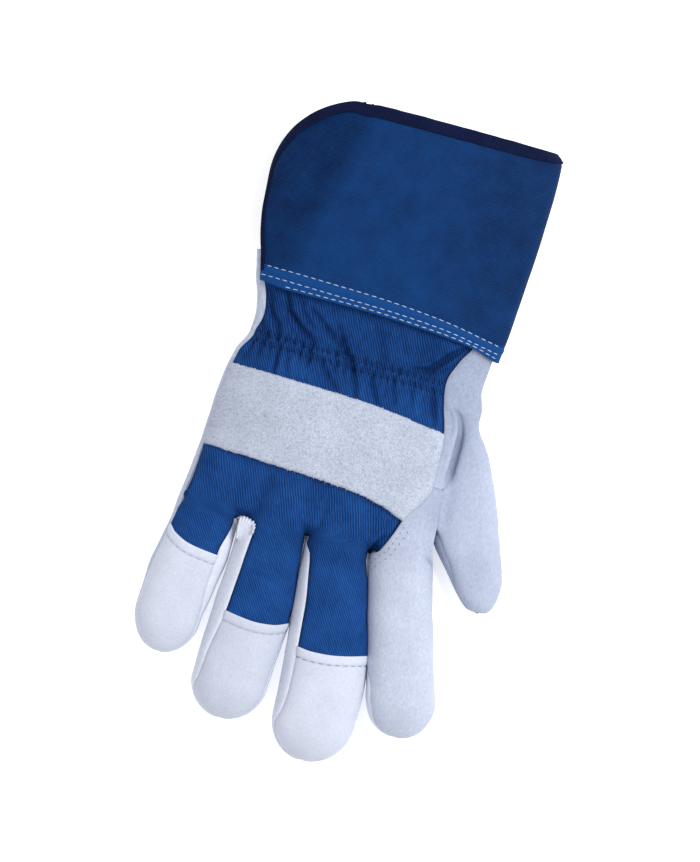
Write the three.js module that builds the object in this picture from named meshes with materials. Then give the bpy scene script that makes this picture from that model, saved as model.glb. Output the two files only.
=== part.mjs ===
// A rigger glove for the right hand, lying palm down with its fingers together.
//
// The real glove is sewn from split leather and blue cotton drill: a leather palm that wraps up the
// little finger's side, a drill back gathered by elastic at the wrist, a leather strap over the
// knuckles, leather caps on three fingers, a leather index finger and thumb, narrow leather side
// walls between the fingers, and a stiff rubberised drill cuff that is slit on the little finger's
// side and bound with tape. Every piece is a wall of its real thickness round the hollow that the
// hand goes in.
//
// Millimetres. x runs across the glove from the little finger to the thumb, y along it from the
// fingertips to the cuff's mouth, and z up from the surface that it lies on.
import * as THREE from "three";

// Wall thicknesses and the clearances between pieces.
const PALM_LEATHER = 1.8;
const BACK_LEATHER = 1.6;
const SIDE_LEATHER = 1.3;
const DRILL = 1.5;
const CUFF_CLOTH = 1.6;
const TAPE = 0.9;
const SEAM_GAP = 0.3;
const LAYER_GAP = 0.4;

// The section of a finger or of the hand: a rounded crown over a flat that rests on the surface. The
// lower seams lie a little below its widest level.
const CROWN_POWER = 2.4;
const BELLY_POWER = 3.4;
const BELLY_REACH = 1.15;
const SIDE_SHARE = 0.42;
const LOWER_SEAM_ANGLE = 0.45;

// How fast the crown and the belly close towards a fingertip, and the widest lap of a side wall, as
// a share of the half width.
const TIP_CROWN_POWER = 0.8;
const TIP_BELLY_POWER = 0.55;
const WIDEST_LAP = 0.5;

// Heights along the glove at which the hand's pieces have a row. The strip beside the thumb runs
// from STRIP_TOP_Y to STRIP_END_Y, the thumb parts from the hand at THUMB_WEB_Y, and the webs
// between the fingers lie between WEB_Y and CROTCH_Y.
const STRIP_TOP_Y = 20;
const STRIP_END_Y = -14;
const THUMB_WEB_Y = -35;
const WEB_Y = -47;
const CROTCH_Y = -49;
const HAND_ROWS = [62, 52, 43, 36, 29, STRIP_TOP_Y, 10, -2, STRIP_END_Y, -22, -30, THUMB_WEB_Y, -41, WEB_Y];
const VALLEY_END_Y = -12;

// The hand from the wrist, under the cuff, to the crotches. wrap is the width of palm leather that
// shows along the little finger's edge, and floor the height of the underside.
const HAND = [
  { y: 62, left: -55.6, right: 50.4, top: 21.5, wrap: 4.0, floor: 3.0 },
  { y: 52, left: -53.8, right: 49.6, top: 20.6, wrap: 3.6, floor: 2.9 },
  { y: 43, left: -51.2, right: 49.4, top: 19.8, wrap: 3.5, floor: 2.5 },
  { y: 36, left: -49.9, right: 49.0, top: 19.2, wrap: 3.0, floor: 0 },
  { y: 29, left: -50.2, right: 48.5, top: 18.8, wrap: 1.4, floor: 0 },
  { y: 20, left: -54.4, right: 50.2, top: 20.8, wrap: 1.2, floor: 0 },
  { y: 10, left: -56.2, right: 50.0, top: 23.3, wrap: 1.2, floor: 0 },
  { y: -5, left: -57.4, right: 46.0, top: 25.0, wrap: 1.2, floor: 0 },
  { y: -20, left: -58.3, right: 45.0, top: 25.0, wrap: 1.2, floor: 0 },
  { y: -35, left: -58.7, right: 45.6, top: 24.0, wrap: 1.2, floor: 0 },
  { y: -49, left: -61.4, right: 48.3, top: 22.0, wrap: 1.2, floor: 0 },
];

// The fingers. lap_left and lap_right are the widths of side wall that show on the finger's back,
// hem is where a cap starts, and the last stretch of length round closes the tip.
const FINGERS = {
  little: {
    hem: -60.6,
    round: 16,
    tip: -108.2,
    rows: [
      { y: -12, left: -58.0, right: -34.0, top: 23.0, lap_left: 1.2, lap_right: 1.2 },
      { y: -49, left: -61.4, right: -34.9, top: 20.6, lap_left: 1.2, lap_right: 1.3 },
      { y: -63, left: -63.7, right: -34.9, top: 19.8, lap_left: 1.2, lap_right: 4.1 },
      { y: -76, left: -65.7, right: -36.8, top: 19.2, lap_left: 1.2, lap_right: 3.9 },
      { y: -92, left: -66.4, right: -39.2, top: 18.6, lap_left: 1.2, lap_right: 3.0 },
      { y: -108.2, left: -66.4, right: -39.6, top: 17.5, lap_left: 1.0, lap_right: 1.0 },
    ],
  },
  ring: {
    hem: -85.2,
    round: 15,
    tip: -128,
    rows: [
      { y: -12, left: -33.0, right: -6.4, top: 24.2, lap_left: 1.2, lap_right: 1.0 },
      { y: -49, left: -33.6, right: -6.6, top: 22.0, lap_left: 6.2, lap_right: 1.0 },
      { y: -63, left: -33.9, right: -5.9, top: 21.2, lap_left: 5.4, lap_right: 1.0 },
      { y: -80, left: -35.3, right: -4.4, top: 20.4, lap_left: 5.3, lap_right: 1.0 },
      { y: -97, left: -36.2, right: -4.8, top: 19.6, lap_left: 4.6, lap_right: 1.0 },
      { y: -113, left: -36.6, right: -5.6, top: 19.0, lap_left: 3.6, lap_right: 1.0 },
      { y: -128, left: -36.4, right: -6.6, top: 18.0, lap_left: 1.0, lap_right: 1.0 },
    ],
  },
  middle: {
    hem: -90.6,
    round: 18.2,
    tip: -136.2,
    rows: [
      { y: -12, left: -5.4, right: 19.6, top: 24.6, lap_left: 1.0, lap_right: 1.0 },
      { y: -49, left: -5.6, right: 20.1, top: 22.6, lap_left: 1.0, lap_right: 1.0 },
      { y: -58, left: -5.2, right: 22.0, top: 22.2, lap_left: 3.7, lap_right: 1.0 },
      { y: -75, left: -3.9, right: 25.8, top: 21.4, lap_left: 4.9, lap_right: 1.0 },
      { y: -92, left: -2.3, right: 30.0, top: 20.6, lap_left: 4.7, lap_right: 1.0 },
      { y: -108, left: -1.1, right: 32.5, top: 20.0, lap_left: 3.6, lap_right: 1.0 },
      { y: -118, left: -0.6, right: 33.2, top: 19.4, lap_left: 2.4, lap_right: 1.0 },
      { y: -136.2, left: -1.4, right: 32.6, top: 18.4, lap_left: 1.0, lap_right: 1.0 },
    ],
  },
  index: {
    hem: -72,
    round: 16,
    tip: -117.2,
    rows: [
      { y: -12, left: 20.6, right: 46.0, top: 24.2, lap_left: 1.0, lap_right: 1.2 },
      { y: -36, left: 20.8, right: 45.7, top: 23.4, lap_left: 1.0, lap_right: 1.2 },
      { y: -49, left: 21.3, right: 48.3, top: 22.0, lap_left: 1.0, lap_right: 1.2 },
      { y: -63, left: 24.0, right: 52.1, top: 21.2, lap_left: 1.0, lap_right: 1.2 },
      { y: -80, left: 28.0, right: 56.8, top: 20.4, lap_left: 1.0, lap_right: 1.2 },
      { y: -92, left: 31.2, right: 60.4, top: 19.8, lap_left: 1.2, lap_right: 1.2 },
      { y: -101, left: 33.0, right: 63.2, top: 19.4, lap_left: 2.0, lap_right: 1.2 },
      { y: -117.2, left: 35.0, right: 64.4, top: 18.4, lap_left: 1.0, lap_right: 1.0 },
    ],
  },
};
const FINGER_NAMES = Object.keys(FINGERS);
const CAPPED = FINGER_NAMES.slice(0, 3);

// The thumb. Above the crotch its front meets the palm at the place seam and the height seam_z.
const THUMB = [
  { y: 62, left: 34.0, right: 50.4, top: 17.8, seam: 43.4, seam_z: 4.9 },
  { y: 52, left: 34.0, right: 49.6, top: 17.7, seam: 42.8, seam_z: 4.7 },
  { y: 43, left: 34.0, right: 49.4, top: 17.6, seam: 41.6, seam_z: 3.9 },
  { y: 36, left: 35.0, right: 49.0, top: 17.4, seam: 42.4, seam_z: 0 },
  { y: 29, left: 36.0, right: 48.6, top: 17.0, seam: 41.0, seam_z: 0 },
  { y: 20, left: 37.4, right: 50.2, top: 16.8, seam: 40.4, seam_z: 0 },
  { y: 12, left: 40.4, right: 54.2, top: 16.2, seam: 40.2, seam_z: 0 },
  { y: 4, left: 41.2, right: 58.0, top: 15.8, seam: 40.2, seam_z: 0 },
  { y: -5, left: 41.6, right: 62.0, top: 15.9, seam: 40.8, seam_z: 0 },
  { y: -20, left: 42.0, right: 68.2, top: 16.4, seam: 42.0, seam_z: 0 },
  { y: -30, left: 43.4, right: 71.8, top: 16.8, seam: 43.6, seam_z: 0 },
  { y: -35, left: 46.0, right: 73.6, top: 16.8, seam: 45.0, seam_z: 0 },
  { y: -45, left: 51.8, right: 76.3, top: 16.2, seam: 51.6, seam_z: 0 },
  { y: -51, left: 57.2, right: 76.8, top: 15.6, seam: 57.2, seam_z: 0 },
  { y: -55.6, left: 61.6, right: 75.9, top: 14.4, seam: 61.6, seam_z: 0 },
  { y: -58.4, left: 65.0, right: 74.0, top: 12.4, seam: 65.4, seam_z: 0 },
  { y: -59.4, left: 69.0, right: 70.6, top: 10.8, seam: 69.2, seam_z: 0 },
];
const THUMB_LAP = 1.8;
const THUMB_TIP = { from: -45, to: -59.4, side: 7.6, floor: 4.2 };

// Seams on the back, as places across the glove at heights along it: the drill's edge on the index
// finger's side, down to the web, and the fold in which the thumb meets the hand.
const DRILL_EDGE = [
  { y: 62, x: 44.0 },
  { y: 46, x: 40.6 },
  { y: 38, x: 36.2 },
  { y: 29, x: 33.2 },
  { y: 20, x: 34.6 },
  { y: 8, x: 37.6 },
  { y: -14, x: 38.4 },
  { y: -30, x: 30.0 },
  { y: WEB_Y, x: 20.7 },
];
const FOLD = [
  { y: 20, x: 38.0 },
  { y: 16, x: 42.0 },
  { y: 8, x: 43.6 },
  { y: -14, x: 43.6 },
  { y: -30, x: 44.8 },
  { y: THUMB_WEB_Y, x: 47.8 },
];
const SHOULDER = 3;
const SHOULDER_START = 0.3;

// The thumb's back runs into the hand's crown between this height and the strip's top.
const THUMB_JOIN_Y = 4;

// Where the palm's underside is flat, as shares of its width under the little and index fingers, and
// where the thumb's front reaches its flat.
const PALM_FLAT_START = 0.25;
const PALM_FLAT_END = 0.7;
const THUMB_FLAT_START = 0.25;

// How many millimetres of length a turn of one radian counts for where points are shared out, and
// the steps in which the curves are first drawn.
const BEND_WEIGHT = 12;
const FINE_STEPS = 48;

// The strap's upper and lower edges at shares of its length from the little finger's side.
const STRAP = [
  { share: 0, upper: 14.0, lower: -20.4 },
  { share: 0.36, upper: 13.2, lower: -21.6 },
  { share: 0.7, upper: 11.6, lower: -23.6 },
  { share: 0.86, upper: 9.8, lower: -26.2 },
  { share: 1, upper: 8.0, lower: -30.0 },
];
const STRAP_ROWS = 4;

// The elastic gathers the drill into pleats that die out towards the cuff and the strap.
const PLEATS = 8;
const PLEAT_DEPTH = 0.9;
const ELASTIC_Y = 29;
const PLEAT_REACH = 15;

// The cuff. back_edge and palm_edge are how far it stops short of its left side, at the slit, and
// power is the roundness of its crown there. Its lower edge slants towards the thumb.
const CUFF = [
  { y: 46.6, left: -55.8, right: 51.8, top: 22.8, floor: 0.3, back_edge: 4.2, palm_edge: 9, power: 2.4 },
  { y: 56, left: -57.2, right: 53.0, top: 23.6, floor: 0.7, back_edge: 3.6, palm_edge: 8, power: 2.4 },
  { y: 66, left: -58.8, right: 54.0, top: 24.4, floor: 1.2, back_edge: 2.4, palm_edge: 6, power: 2.3 },
  { y: 80, left: -60.0, right: 55.4, top: 25.4, floor: 1.2, back_edge: 1.4, palm_edge: 5, power: 1.8 },
  { y: 97, left: -61.2, right: 56.6, top: 26.4, floor: 1.2, back_edge: 1.2, palm_edge: 4, power: 1.6 },
  { y: 115, left: -61.2, right: 57.0, top: 27.2, floor: 1.2, back_edge: 1.2, palm_edge: 4, power: 1.6 },
  { y: 132, left: -61.2, right: 56.2, top: 28.0, floor: 1.2, back_edge: 1.2, palm_edge: 4, power: 1.6 },
];
const CUFF_MOUTH_Y = 132;
const CORNER_START_Y = 97;
const CORNER_WIDTH = 35;
const CUFF_SLANT = 0.09;
const CUFF_SLANT_END_Y = 80;
const TAPE_START_Y = 66;
const TAPE_DEPTH = 5;
const CUFF_ROWS = [46.6, 54, TAPE_START_Y, 80, CORNER_START_Y, 108, 118, 125, 130, CUFF_MOUTH_Y];

// The middle of the glove's box, which stands over the part's own origin.
const BOX_CENTRE = { x: 5.2, y: -1.5 };

const leatherPale = new THREE.MeshStandardMaterial({ color: 0xccd4e6, roughness: 0.9 });
const leatherCap = new THREE.MeshStandardMaterial({ color: 0xd8ddf0, roughness: 0.85 });
const leatherNapped = new THREE.MeshStandardMaterial({ color: 0xbcc4d9, roughness: 1 });
const drillBlue = new THREE.MeshStandardMaterial({ color: 0x214a8c, roughness: 0.95 });
const cuffBlue = new THREE.MeshStandardMaterial({ color: 0x163b72, roughness: 0.8 });
const tapeNavy = new THREE.MeshStandardMaterial({ color: 0x192341, roughness: 0.9 });

const mix = (a, b, t) => a + (b - a) * t;
const signedPower = (v, p) => Math.sign(v) * Math.abs(v) ** p;
const vector = (x, y, z) => new THREE.Vector3(x, y, z);
const steps = (count) => Array.from({ length: count + 1 }, (_, i) => i / count);

function smooth(from, to, v) {
  const t = THREE.MathUtils.clamp((v - from) / (to - from), 0, 1);
  return t * t * (3 - 2 * t);
}

// A column of a table at any value of its key, along a curve that never overshoots its rows.
function at(table, key, value, column) {
  const rows = table[0][key] < table[table.length - 1][key] ? table : [...table].reverse();
  const last = rows.length - 1;
  if (value <= rows[0][key]) return rows[0][column];
  if (value >= rows[last][key]) return rows[last][column];
  const slope = (i) => (rows[i + 1][column] - rows[i][column]) / (rows[i + 1][key] - rows[i][key]);
  const tangent = (i) => {
    if (i === 0) return slope(0);
    if (i === last) return slope(last - 1);
    const before = slope(i - 1);
    const after = slope(i);
    return before * after <= 0 ? 0 : (2 * before * after) / (before + after);
  };
  const i = rows.findIndex((row, n) => n < last && value < rows[n + 1][key]);
  const span = rows[i + 1][key] - rows[i][key];
  const t = (value - rows[i][key]) / span;
  const held = mix(rows[i][column], rows[i + 1][column], t * t * (3 - 2 * t));
  return held + span * t * (1 - t) * (tangent(i) * (1 - t) - tangent(i + 1) * t);
}

// Sections: a centre, a half width, a top, the height of the widest level and a floor.
function sectionOf(table, y) {
  const value = (column) => at(table, "y", y, column);
  const [left, right, top] = [value("left"), value("right"), value("top")];
  const floor = "floor" in table[0] ? value("floor") : 0;
  const side = mix(floor, top, SIDE_SHARE);
  return { y, centre: (left + right) / 2, half: (right - left) / 2, top, side, floor, value };
}

function fingerSection(finger, y) {
  const section = sectionOf(finger.rows, y);
  const past = Math.max(0, finger.tip + finger.round - y) / finger.round;
  const shrink = Math.sqrt(Math.max(0, 1 - past * past));
  section.half *= shrink;
  section.top = mix(section.side, section.top, shrink ** TIP_CROWN_POWER);
  section.floor = section.side * (1 - shrink ** TIP_BELLY_POWER);
  const most = section.half * WIDEST_LAP;
  section.leftSeam = section.centre - section.half + Math.min(section.value("lap_left"), most);
  section.rightSeam = section.centre + section.half - Math.min(section.value("lap_right"), most);
  return section;
}

function thumbSection(y) {
  const section = sectionOf(THUMB, y);
  const closing = smooth(THUMB_TIP.from, THUMB_TIP.to, y);
  section.side = mix(section.side, THUMB_TIP.side, closing);
  section.floor = mix(0, THUMB_TIP.floor, closing ** 2);
  section.leftSeam = section.centre - section.half + Math.min(THUMB_LAP, section.half * WIDEST_LAP);
  return section;
}

// A point of a section at an angle: 0 faces the thumb's side, a quarter turn faces up.
function sectionPoint(section, angle, power = CROWN_POWER) {
  const x = section.centre + section.half * signedPower(Math.cos(angle), 2 / power);
  const rise = Math.sin(angle);
  const crown = (section.top - section.side) * Math.abs(rise) ** (2 / power);
  const belly = (section.side - section.floor) * BELLY_REACH * Math.abs(rise) ** (2 / BELLY_POWER);
  const z = rise >= 0 ? section.side + crown : Math.max(section.floor, section.side - belly);
  return vector(x, section.y, z);
}

// The angle at which a section's crown passes a place across the glove.
function crownAngle(section, x, power = CROWN_POWER) {
  const u = THREE.MathUtils.clamp((x - section.centre) / section.half, -1, 1);
  return Math.acos(signedPower(u, power / 2));
}

const crownHeight = (section, x) => sectionPoint(section, crownAngle(section, x)).z;
const arc = (section, from, to, power) =>
  steps(FINE_STEPS).map((t) => sectionPoint(section, mix(from, to, t), power));
const lowerRight = (section) => sectionPoint(section, -LOWER_SEAM_ANGLE);

// Points shared out along a line, closer together where it bends.
function shareOut(line, cells) {
  const lengths = [0];
  for (let i = 1; i < line.length; i++) {
    const run = line[i].clone().sub(line[i - 1]);
    const turn = i > 1 ? run.angleTo(line[i - 1].clone().sub(line[i - 2])) : 0;
    lengths.push(lengths[i - 1] + run.length() + BEND_WEIGHT * turn);
  }
  const total = lengths[lengths.length - 1];
  return steps(cells).map((share) => {
    const found = lengths.findIndex((length) => length >= share * total);
    const i = found > 0 ? found : share > 0 ? line.length - 1 : 1;
    const t = (share * total - lengths[i - 1]) / (lengths[i] - lengths[i - 1]);
    return line[i - 1].clone().lerp(line[i], THREE.MathUtils.clamp(t, 0, 1));
  });
}

const blend = (rowA, rowB, t) => rowA.map((p, j) => p.clone().lerp(rowB[j], t));

// The drill's edges, and the height of the back: the hand's crown with its pleats, which sinks into
// a valley between each two fingers.
function drillEdges(y) {
  const left = at(HAND, "y", y, "left") + at(HAND, "y", y, "wrap");
  return { left, right: at(DRILL_EDGE, "y", y, "x") };
}

function pleat(x, y) {
  const edges = drillEdges(y);
  const share = THREE.MathUtils.clamp((x - edges.left) / (edges.right - edges.left), 0, 1);
  const reach = Math.max(0, 1 - ((y - ELASTIC_Y) / PLEAT_REACH) ** 2);
  return PLEAT_DEPTH * reach * Math.sin(2 * Math.PI * PLEATS * share);
}

function backHeight(x, y) {
  const hand = crownHeight(sectionOf(HAND, y), x);
  const parting = smooth(VALLEY_END_Y, WEB_Y, y);
  if (parting === 0) return hand + pleat(x, y);
  const fingers = FINGER_NAMES.map((name) => fingerSection(FINGERS[name], y));
  const last = fingers.length - 1;
  const inside = fingers.find(
    (f, i) => (i === 0 || x >= f.leftSeam) && (i === last || x <= f.rightSeam),
  );
  if (inside) return mix(hand, crownHeight(inside, x), parting);
  const next = fingers.findIndex((f) => x < f.leftSeam);
  const [a, b] = [fingers[next - 1], fingers[next]];
  const share = (x - a.rightSeam) / (b.leftSeam - a.rightSeam);
  const web = mix(crownHeight(a, a.rightSeam), crownHeight(b, b.leftSeam), share);
  return mix(hand, web, parting);
}

const backPoint = (x, y) => vector(x, y, backHeight(x, y));
const backLine = (from, to, y) => steps(FINE_STEPS).map((t) => backPoint(mix(from, to, t), y));

// The fold beside the thumb. Above it the thumb's back runs into the hand's crown.
function foldPoint(y) {
  const thumb = thumbSection(y);
  const x = y > THUMB_WEB_Y ? at(FOLD, "y", y, "x") : thumb.leftSeam;
  const joined = smooth(THUMB_JOIN_Y, STRIP_TOP_Y, y);
  return vector(x, y, mix(crownHeight(thumb, x), backHeight(x, y), joined));
}

// A line over the hand's shoulder from a place on the back down to the fold.
function shoulderLine(from, y) {
  const fold = foldPoint(y);
  const start = Math.max(mix(from, fold.x, SHOULDER_START), fold.x - SHOULDER);
  const high = backHeight(start, y);
  const round = steps(FINE_STEPS).slice(1).map((t) => {
    const turn = (t * Math.PI) / 2;
    return vector(mix(start, fold.x, Math.sin(turn)), y, mix(high, fold.z, 1 - Math.cos(turn)));
  });
  return [...backLine(from, start, y), ...round];
}

// Sheets are grids of outside points, null where there is no cloth, whose rows run down the glove
// and whose columns run across it, seen from outside.
const sheets = [];
const addSheet = (name, grid, thickness, material, options = {}) =>
  sheets.push({ name, grid, thickness, material, ...options });

// The rows of a finger: from the web to the hem, on to the round, and round the tip.
const TIP_STEPS = [0.42, 0.7, 0.88, 0.97, 0.998];
const HEM_STEPS = 3;
const ROUND_STEPS = 2;
function fingerRows(name) {
  const { hem, round, tip } = FINGERS[name];
  const start = tip + round;
  return [
    ...steps(HEM_STEPS).map((t) => mix(CROTCH_Y, hem, t)),
    ...steps(ROUND_STEPS).slice(1).map((t) => mix(hem, start, t)),
    ...TIP_STEPS.map((t) => start - round * t),
  ];
}

const BACK_CELLS = { little: 9, ring: 9, middle: 10, index: 6 };
function fingerBackRow(name, y) {
  const section = fingerSection(FINGERS[name], y);
  const line = arc(section, crownAngle(section, section.leftSeam), crownAngle(section, section.rightSeam));
  return shareOut(line, BACK_CELLS[name]);
}

// The drill: one piece over the back of the hand and three fingers, which runs under the strap.
// Across a web it has two cells, and one more up to the index finger's cover.
function drillRow(y) {
  const edges = drillEdges(y);
  const webbed = [];
  for (const name of CAPPED) {
    const section = fingerSection(FINGERS[name], y);
    const from = name === "little" ? edges.left : section.leftSeam;
    if (webbed.length) webbed.push((webbed[webbed.length - 1] + from) / 2);
    const cells = BACK_CELLS[name];
    for (let j = 0; j <= cells; j++) {
      const rounded = (1 - Math.cos((Math.PI * j) / cells)) / 2;
      webbed.push(mix(from, section.rightSeam, mix(j / cells, rounded, 0.5)));
    }
  }
  webbed.push(edges.right);
  const cells = webbed.length - 1;
  const parting = smooth(12, WEB_Y, y);
  return webbed.map((x, j) => backPoint(mix(mix(edges.left, edges.right, j / cells), x, parting), y));
}

const drillGrid = HAND_ROWS.map(drillRow);
for (let step = 0; step <= HEM_STEPS; step++) {
  const blocks = CAPPED.map((name) => [...fingerBackRow(name, fingerRows(name)[step]), null]);
  drillGrid.push(blocks.flat());
}
addSheet("back_drill", drillGrid, DRILL, drillBlue);

// Leather caps from the hems to the tips of three fingers.
for (const name of CAPPED) {
  const rows = fingerRows(name).slice(HEM_STEPS);
  addSheet(`${name}_finger_cap`, rows.map((y) => fingerBackRow(name, y)), BACK_LEATHER, leatherCap);
}

// The index finger's cover: it starts at the side strip's end, runs down the back of the finger and
// folds down its outer side, below the thumb's crotch, to the palm.
const WALL_CELLS = 3;
const COVER_CELLS = BACK_CELLS.index + 1;
const outerWall = (section) => arc(section, crownAngle(section, section.rightSeam), -LOWER_SEAM_ANGLE);
const innerWall = (section) =>
  arc(section, crownAngle(section, section.leftSeam), Math.PI + LOWER_SEAM_ANGLE);
function coverHandRow(y) {
  const edge = drillEdges(y).right;
  const index = fingerSection(FINGERS.index, y);
  const free = y < THUMB_WEB_Y;
  const line = free ? backLine(edge, index.rightSeam, y) : shoulderLine(edge, y);
  const onFinger = free ? backLine(index.leftSeam, index.rightSeam, y) : line;
  const webbed = [line[0], ...shareOut(onFinger, BACK_CELLS.index)];
  const top = blend(shareOut(line, COVER_CELLS), webbed, smooth(THUMB_WEB_Y, WEB_Y, y));
  if (y > THUMB_WEB_Y) return [...top, ...Array(WALL_CELLS).fill(null)];
  const side = free ? outerWall(index) : innerWall(thumbSection(y));
  return [...top, ...shareOut(side, WALL_CELLS).slice(1)];
}

function coverFingerRow(y) {
  const side = outerWall(fingerSection(FINGERS.index, y));
  return [null, ...fingerBackRow("index", y), ...shareOut(side, WALL_CELLS).slice(1)];
}

const coverGrid = [
  ...HAND_ROWS.filter((y) => y <= STRIP_END_Y).map(coverHandRow),
  ...fingerRows("index").map(coverFingerRow),
];
addSheet("index_finger_cover", coverGrid, BACK_LEATHER, leatherPale);

// The side strip: the folded edge of leather between the strap's end and the thumb.
const stripRows = HAND_ROWS.filter((y) => y <= STRIP_TOP_Y && y >= STRIP_END_Y);
const stripGrid = stripRows.map((y) => shareOut(shoulderLine(drillEdges(y).right, y), 4));
addSheet("side_strip", stripGrid, BACK_LEATHER, leatherPale);

// The thumb's back runs up the side of the wrist to the cuff, beside the drill above the strip.
const THUMB_CELLS = 8;
const THUMB_TIP_ROWS = [-51, -54.8, -57.4, -59.4];
const STRIP_WIDTH = foldPoint(STRIP_TOP_Y).x - drillEdges(STRIP_TOP_Y).right;
function thumbBackLine(y) {
  const hand = sectionOf(HAND, y);
  const thumb = thumbSection(y);
  const besideFold = y > THUMB_WEB_Y ? foldPoint(y).x + SEAM_GAP : thumb.leftSeam;
  const start = y < STRIP_TOP_Y ? besideFold : drillEdges(y).right + STRIP_WIDTH;
  const joined = smooth(THUMB_JOIN_Y, STRIP_TOP_Y, y);
  const alongHand = shareOut(arc(hand, crownAngle(hand, start), -LOWER_SEAM_ANGLE), THUMB_CELLS);
  const alongThumb = shareOut(arc(thumb, crownAngle(thumb, start), -LOWER_SEAM_ANGLE), THUMB_CELLS);
  return blend(alongThumb, alongHand, joined);
}

function thumbBackRow(y) {
  const line = thumbBackLine(y);
  if (y < STRIP_TOP_Y) return [null, null, ...line];
  const edge = drillEdges(y).right;
  return [...shareOut(backLine(edge, edge + STRIP_WIDTH, y), 2).slice(0, 2), ...line];
}
const thumbBackGrid = [...HAND_ROWS, ...THUMB_TIP_ROWS].map(thumbBackRow);
addSheet("thumb_back", thumbBackGrid, BACK_LEATHER, leatherPale);

// The thumb's front lies on the floor beside the palm, and below the crotch it also folds up the
// thumb's inner side.
const FRONT_CELLS = 5;
function palmSeam(y) {
  const thumb = thumbSection(y);
  if (y <= THUMB_WEB_Y) return sectionPoint(thumb, Math.PI + LOWER_SEAM_ANGLE);
  return vector(thumb.value("seam"), y, thumb.value("seam_z"));
}

function thumbFrontRow(y) {
  const thumb = thumbSection(y);
  const seam = palmSeam(y);
  const start = thumbBackLine(y)[THUMB_CELLS];
  if (y > THUMB_WEB_Y) {
    const flat = vector(mix(start.x, seam.x, THUMB_FLAT_START), y, seam.z);
    return [...shareOut([start, flat, seam], FRONT_CELLS), ...Array(WALL_CELLS).fill(null)];
  }
  const under = arc(thumb, -LOWER_SEAM_ANGLE, LOWER_SEAM_ANGLE - Math.PI);
  const side = innerWall(thumb).reverse();
  return [...shareOut(under, FRONT_CELLS), ...shareOut(side, WALL_CELLS).slice(1)];
}
const thumbFrontGrid = [...HAND_ROWS, ...THUMB_TIP_ROWS].map(thumbFrontRow);
addSheet("thumb_front", thumbFrontGrid, PALM_LEATHER, leatherPale);

// The palm: the underside of the hand and of four fingers, folded up the little finger's side.
const PALM_CELLS = { little: 7, ring: 4, middle: 4, index: 4 };
function palmFingerRow(name, y) {
  const section = fingerSection(FINGERS[name], y);
  const from = name === "little" ? crownAngle(section, section.leftSeam) : Math.PI + LOWER_SEAM_ANGLE;
  return shareOut(arc(section, from, 2 * Math.PI - LOWER_SEAM_ANGLE), PALM_CELLS[name]);
}

function palmHandRow(y) {
  const hand = sectionOf(HAND, y);
  const parting = smooth(VALLEY_END_Y, WEB_Y, y);
  const row = [];
  for (const name of FINGER_NAMES) {
    const fingerRow = palmFingerRow(name, y);
    const [first, last] = [fingerRow[0], fingerRow[fingerRow.length - 1]];
    let line = [vector(first.x, y, hand.floor), vector(last.x, y, hand.floor)];
    if (name === "little") {
      const side = arc(hand, crownAngle(hand, drillEdges(y).left), Math.PI + LOWER_SEAM_ANGLE);
      const inset = mix(hand.centre - hand.half, last.x, PALM_FLAT_START);
      line = [...side, vector(inset, y, hand.floor), vector(last.x, y, hand.floor)];
    }
    if (name === "index") {
      const end = y >= THUMB_WEB_Y ? palmSeam(y) : lowerRight(sectionOf(HAND, y));
      const flatEnd = mix(first.x, end.x, PALM_FLAT_END);
      line = [vector(first.x, y, hand.floor), vector(flatEnd, y, hand.floor), end];
      fingerRow[fingerRow.length - 1] = end;
    }
    const block = blend(shareOut(line, PALM_CELLS[name]), fingerRow, parting);
    if (name === "little") block[0] = backPoint(drillEdges(y).left, y);
    if (row.length) row.push(row[row.length - 1].clone().lerp(block[0], 0.5));
    row.push(...block);
  }
  return row.reverse();
}

const palmGrid = HAND_ROWS.map(palmHandRow);
fingerRows("little").forEach((_, step) => {
  const blocks = FINGER_NAMES.map((name) => [...palmFingerRow(name, fingerRows(name)[step]), null]);
  palmGrid.push(blocks.flat().slice(0, -1).reverse());
});
addSheet("palm", palmGrid, PALM_LEATHER, leatherPale);

// Side walls between the fingers: each runs from one fingertip up to the web, across it and down to
// the next fingertip.
function wallRow(name, side, y) {
  const section = fingerSection(FINGERS[name], y);
  return shareOut(side === "right" ? outerWall(section) : innerWall(section), WALL_CELLS);
}

for (const [first, second] of [["little", "ring"], ["ring", "middle"], ["middle", "index"]]) {
  const down = [WEB_Y, ...fingerRows(first)].map((y) => wallRow(first, "right", y)).reverse();
  const up = [WEB_Y, ...fingerRows(second)].map((y) => wallRow(second, "left", y));
  const web = blend(down[down.length - 1], up[0], 0.5);
  addSheet(`side_wall_${first}_${second}`, [...down, web, ...up].reverse(), SIDE_LEATHER, leatherCap);
}

// The strap lies on the drill over the knuckles and bridges the valleys.
const SLOPE_REACH = 0.5;
const bridged = (x, y) => vector(x, y, Math.max(backHeight(x, y), crownHeight(sectionOf(HAND, y), x)));
function strapPoint(share, down) {
  const y = mix(at(STRAP, "share", share, "upper"), at(STRAP, "share", share, "lower"), down);
  const edges = drillEdges(y);
  const x = mix(edges.left, edges.right, share);
  const across = bridged(x + SLOPE_REACH, y).sub(bridged(x - SLOPE_REACH, y));
  const along = bridged(x, y + SLOPE_REACH).sub(bridged(x, y - SLOPE_REACH));
  return bridged(x, y).addScaledVector(across.cross(along).normalize(), LAYER_GAP + BACK_LEATHER);
}
const strapCells = drillGrid[0].length - 1;
const strapRow = (down) => steps(strapCells).map((share) => strapPoint(share, down));
addSheet("knuckle_strap", steps(STRAP_ROWS).map(strapRow), BACK_LEATHER, leatherNapped);

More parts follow.
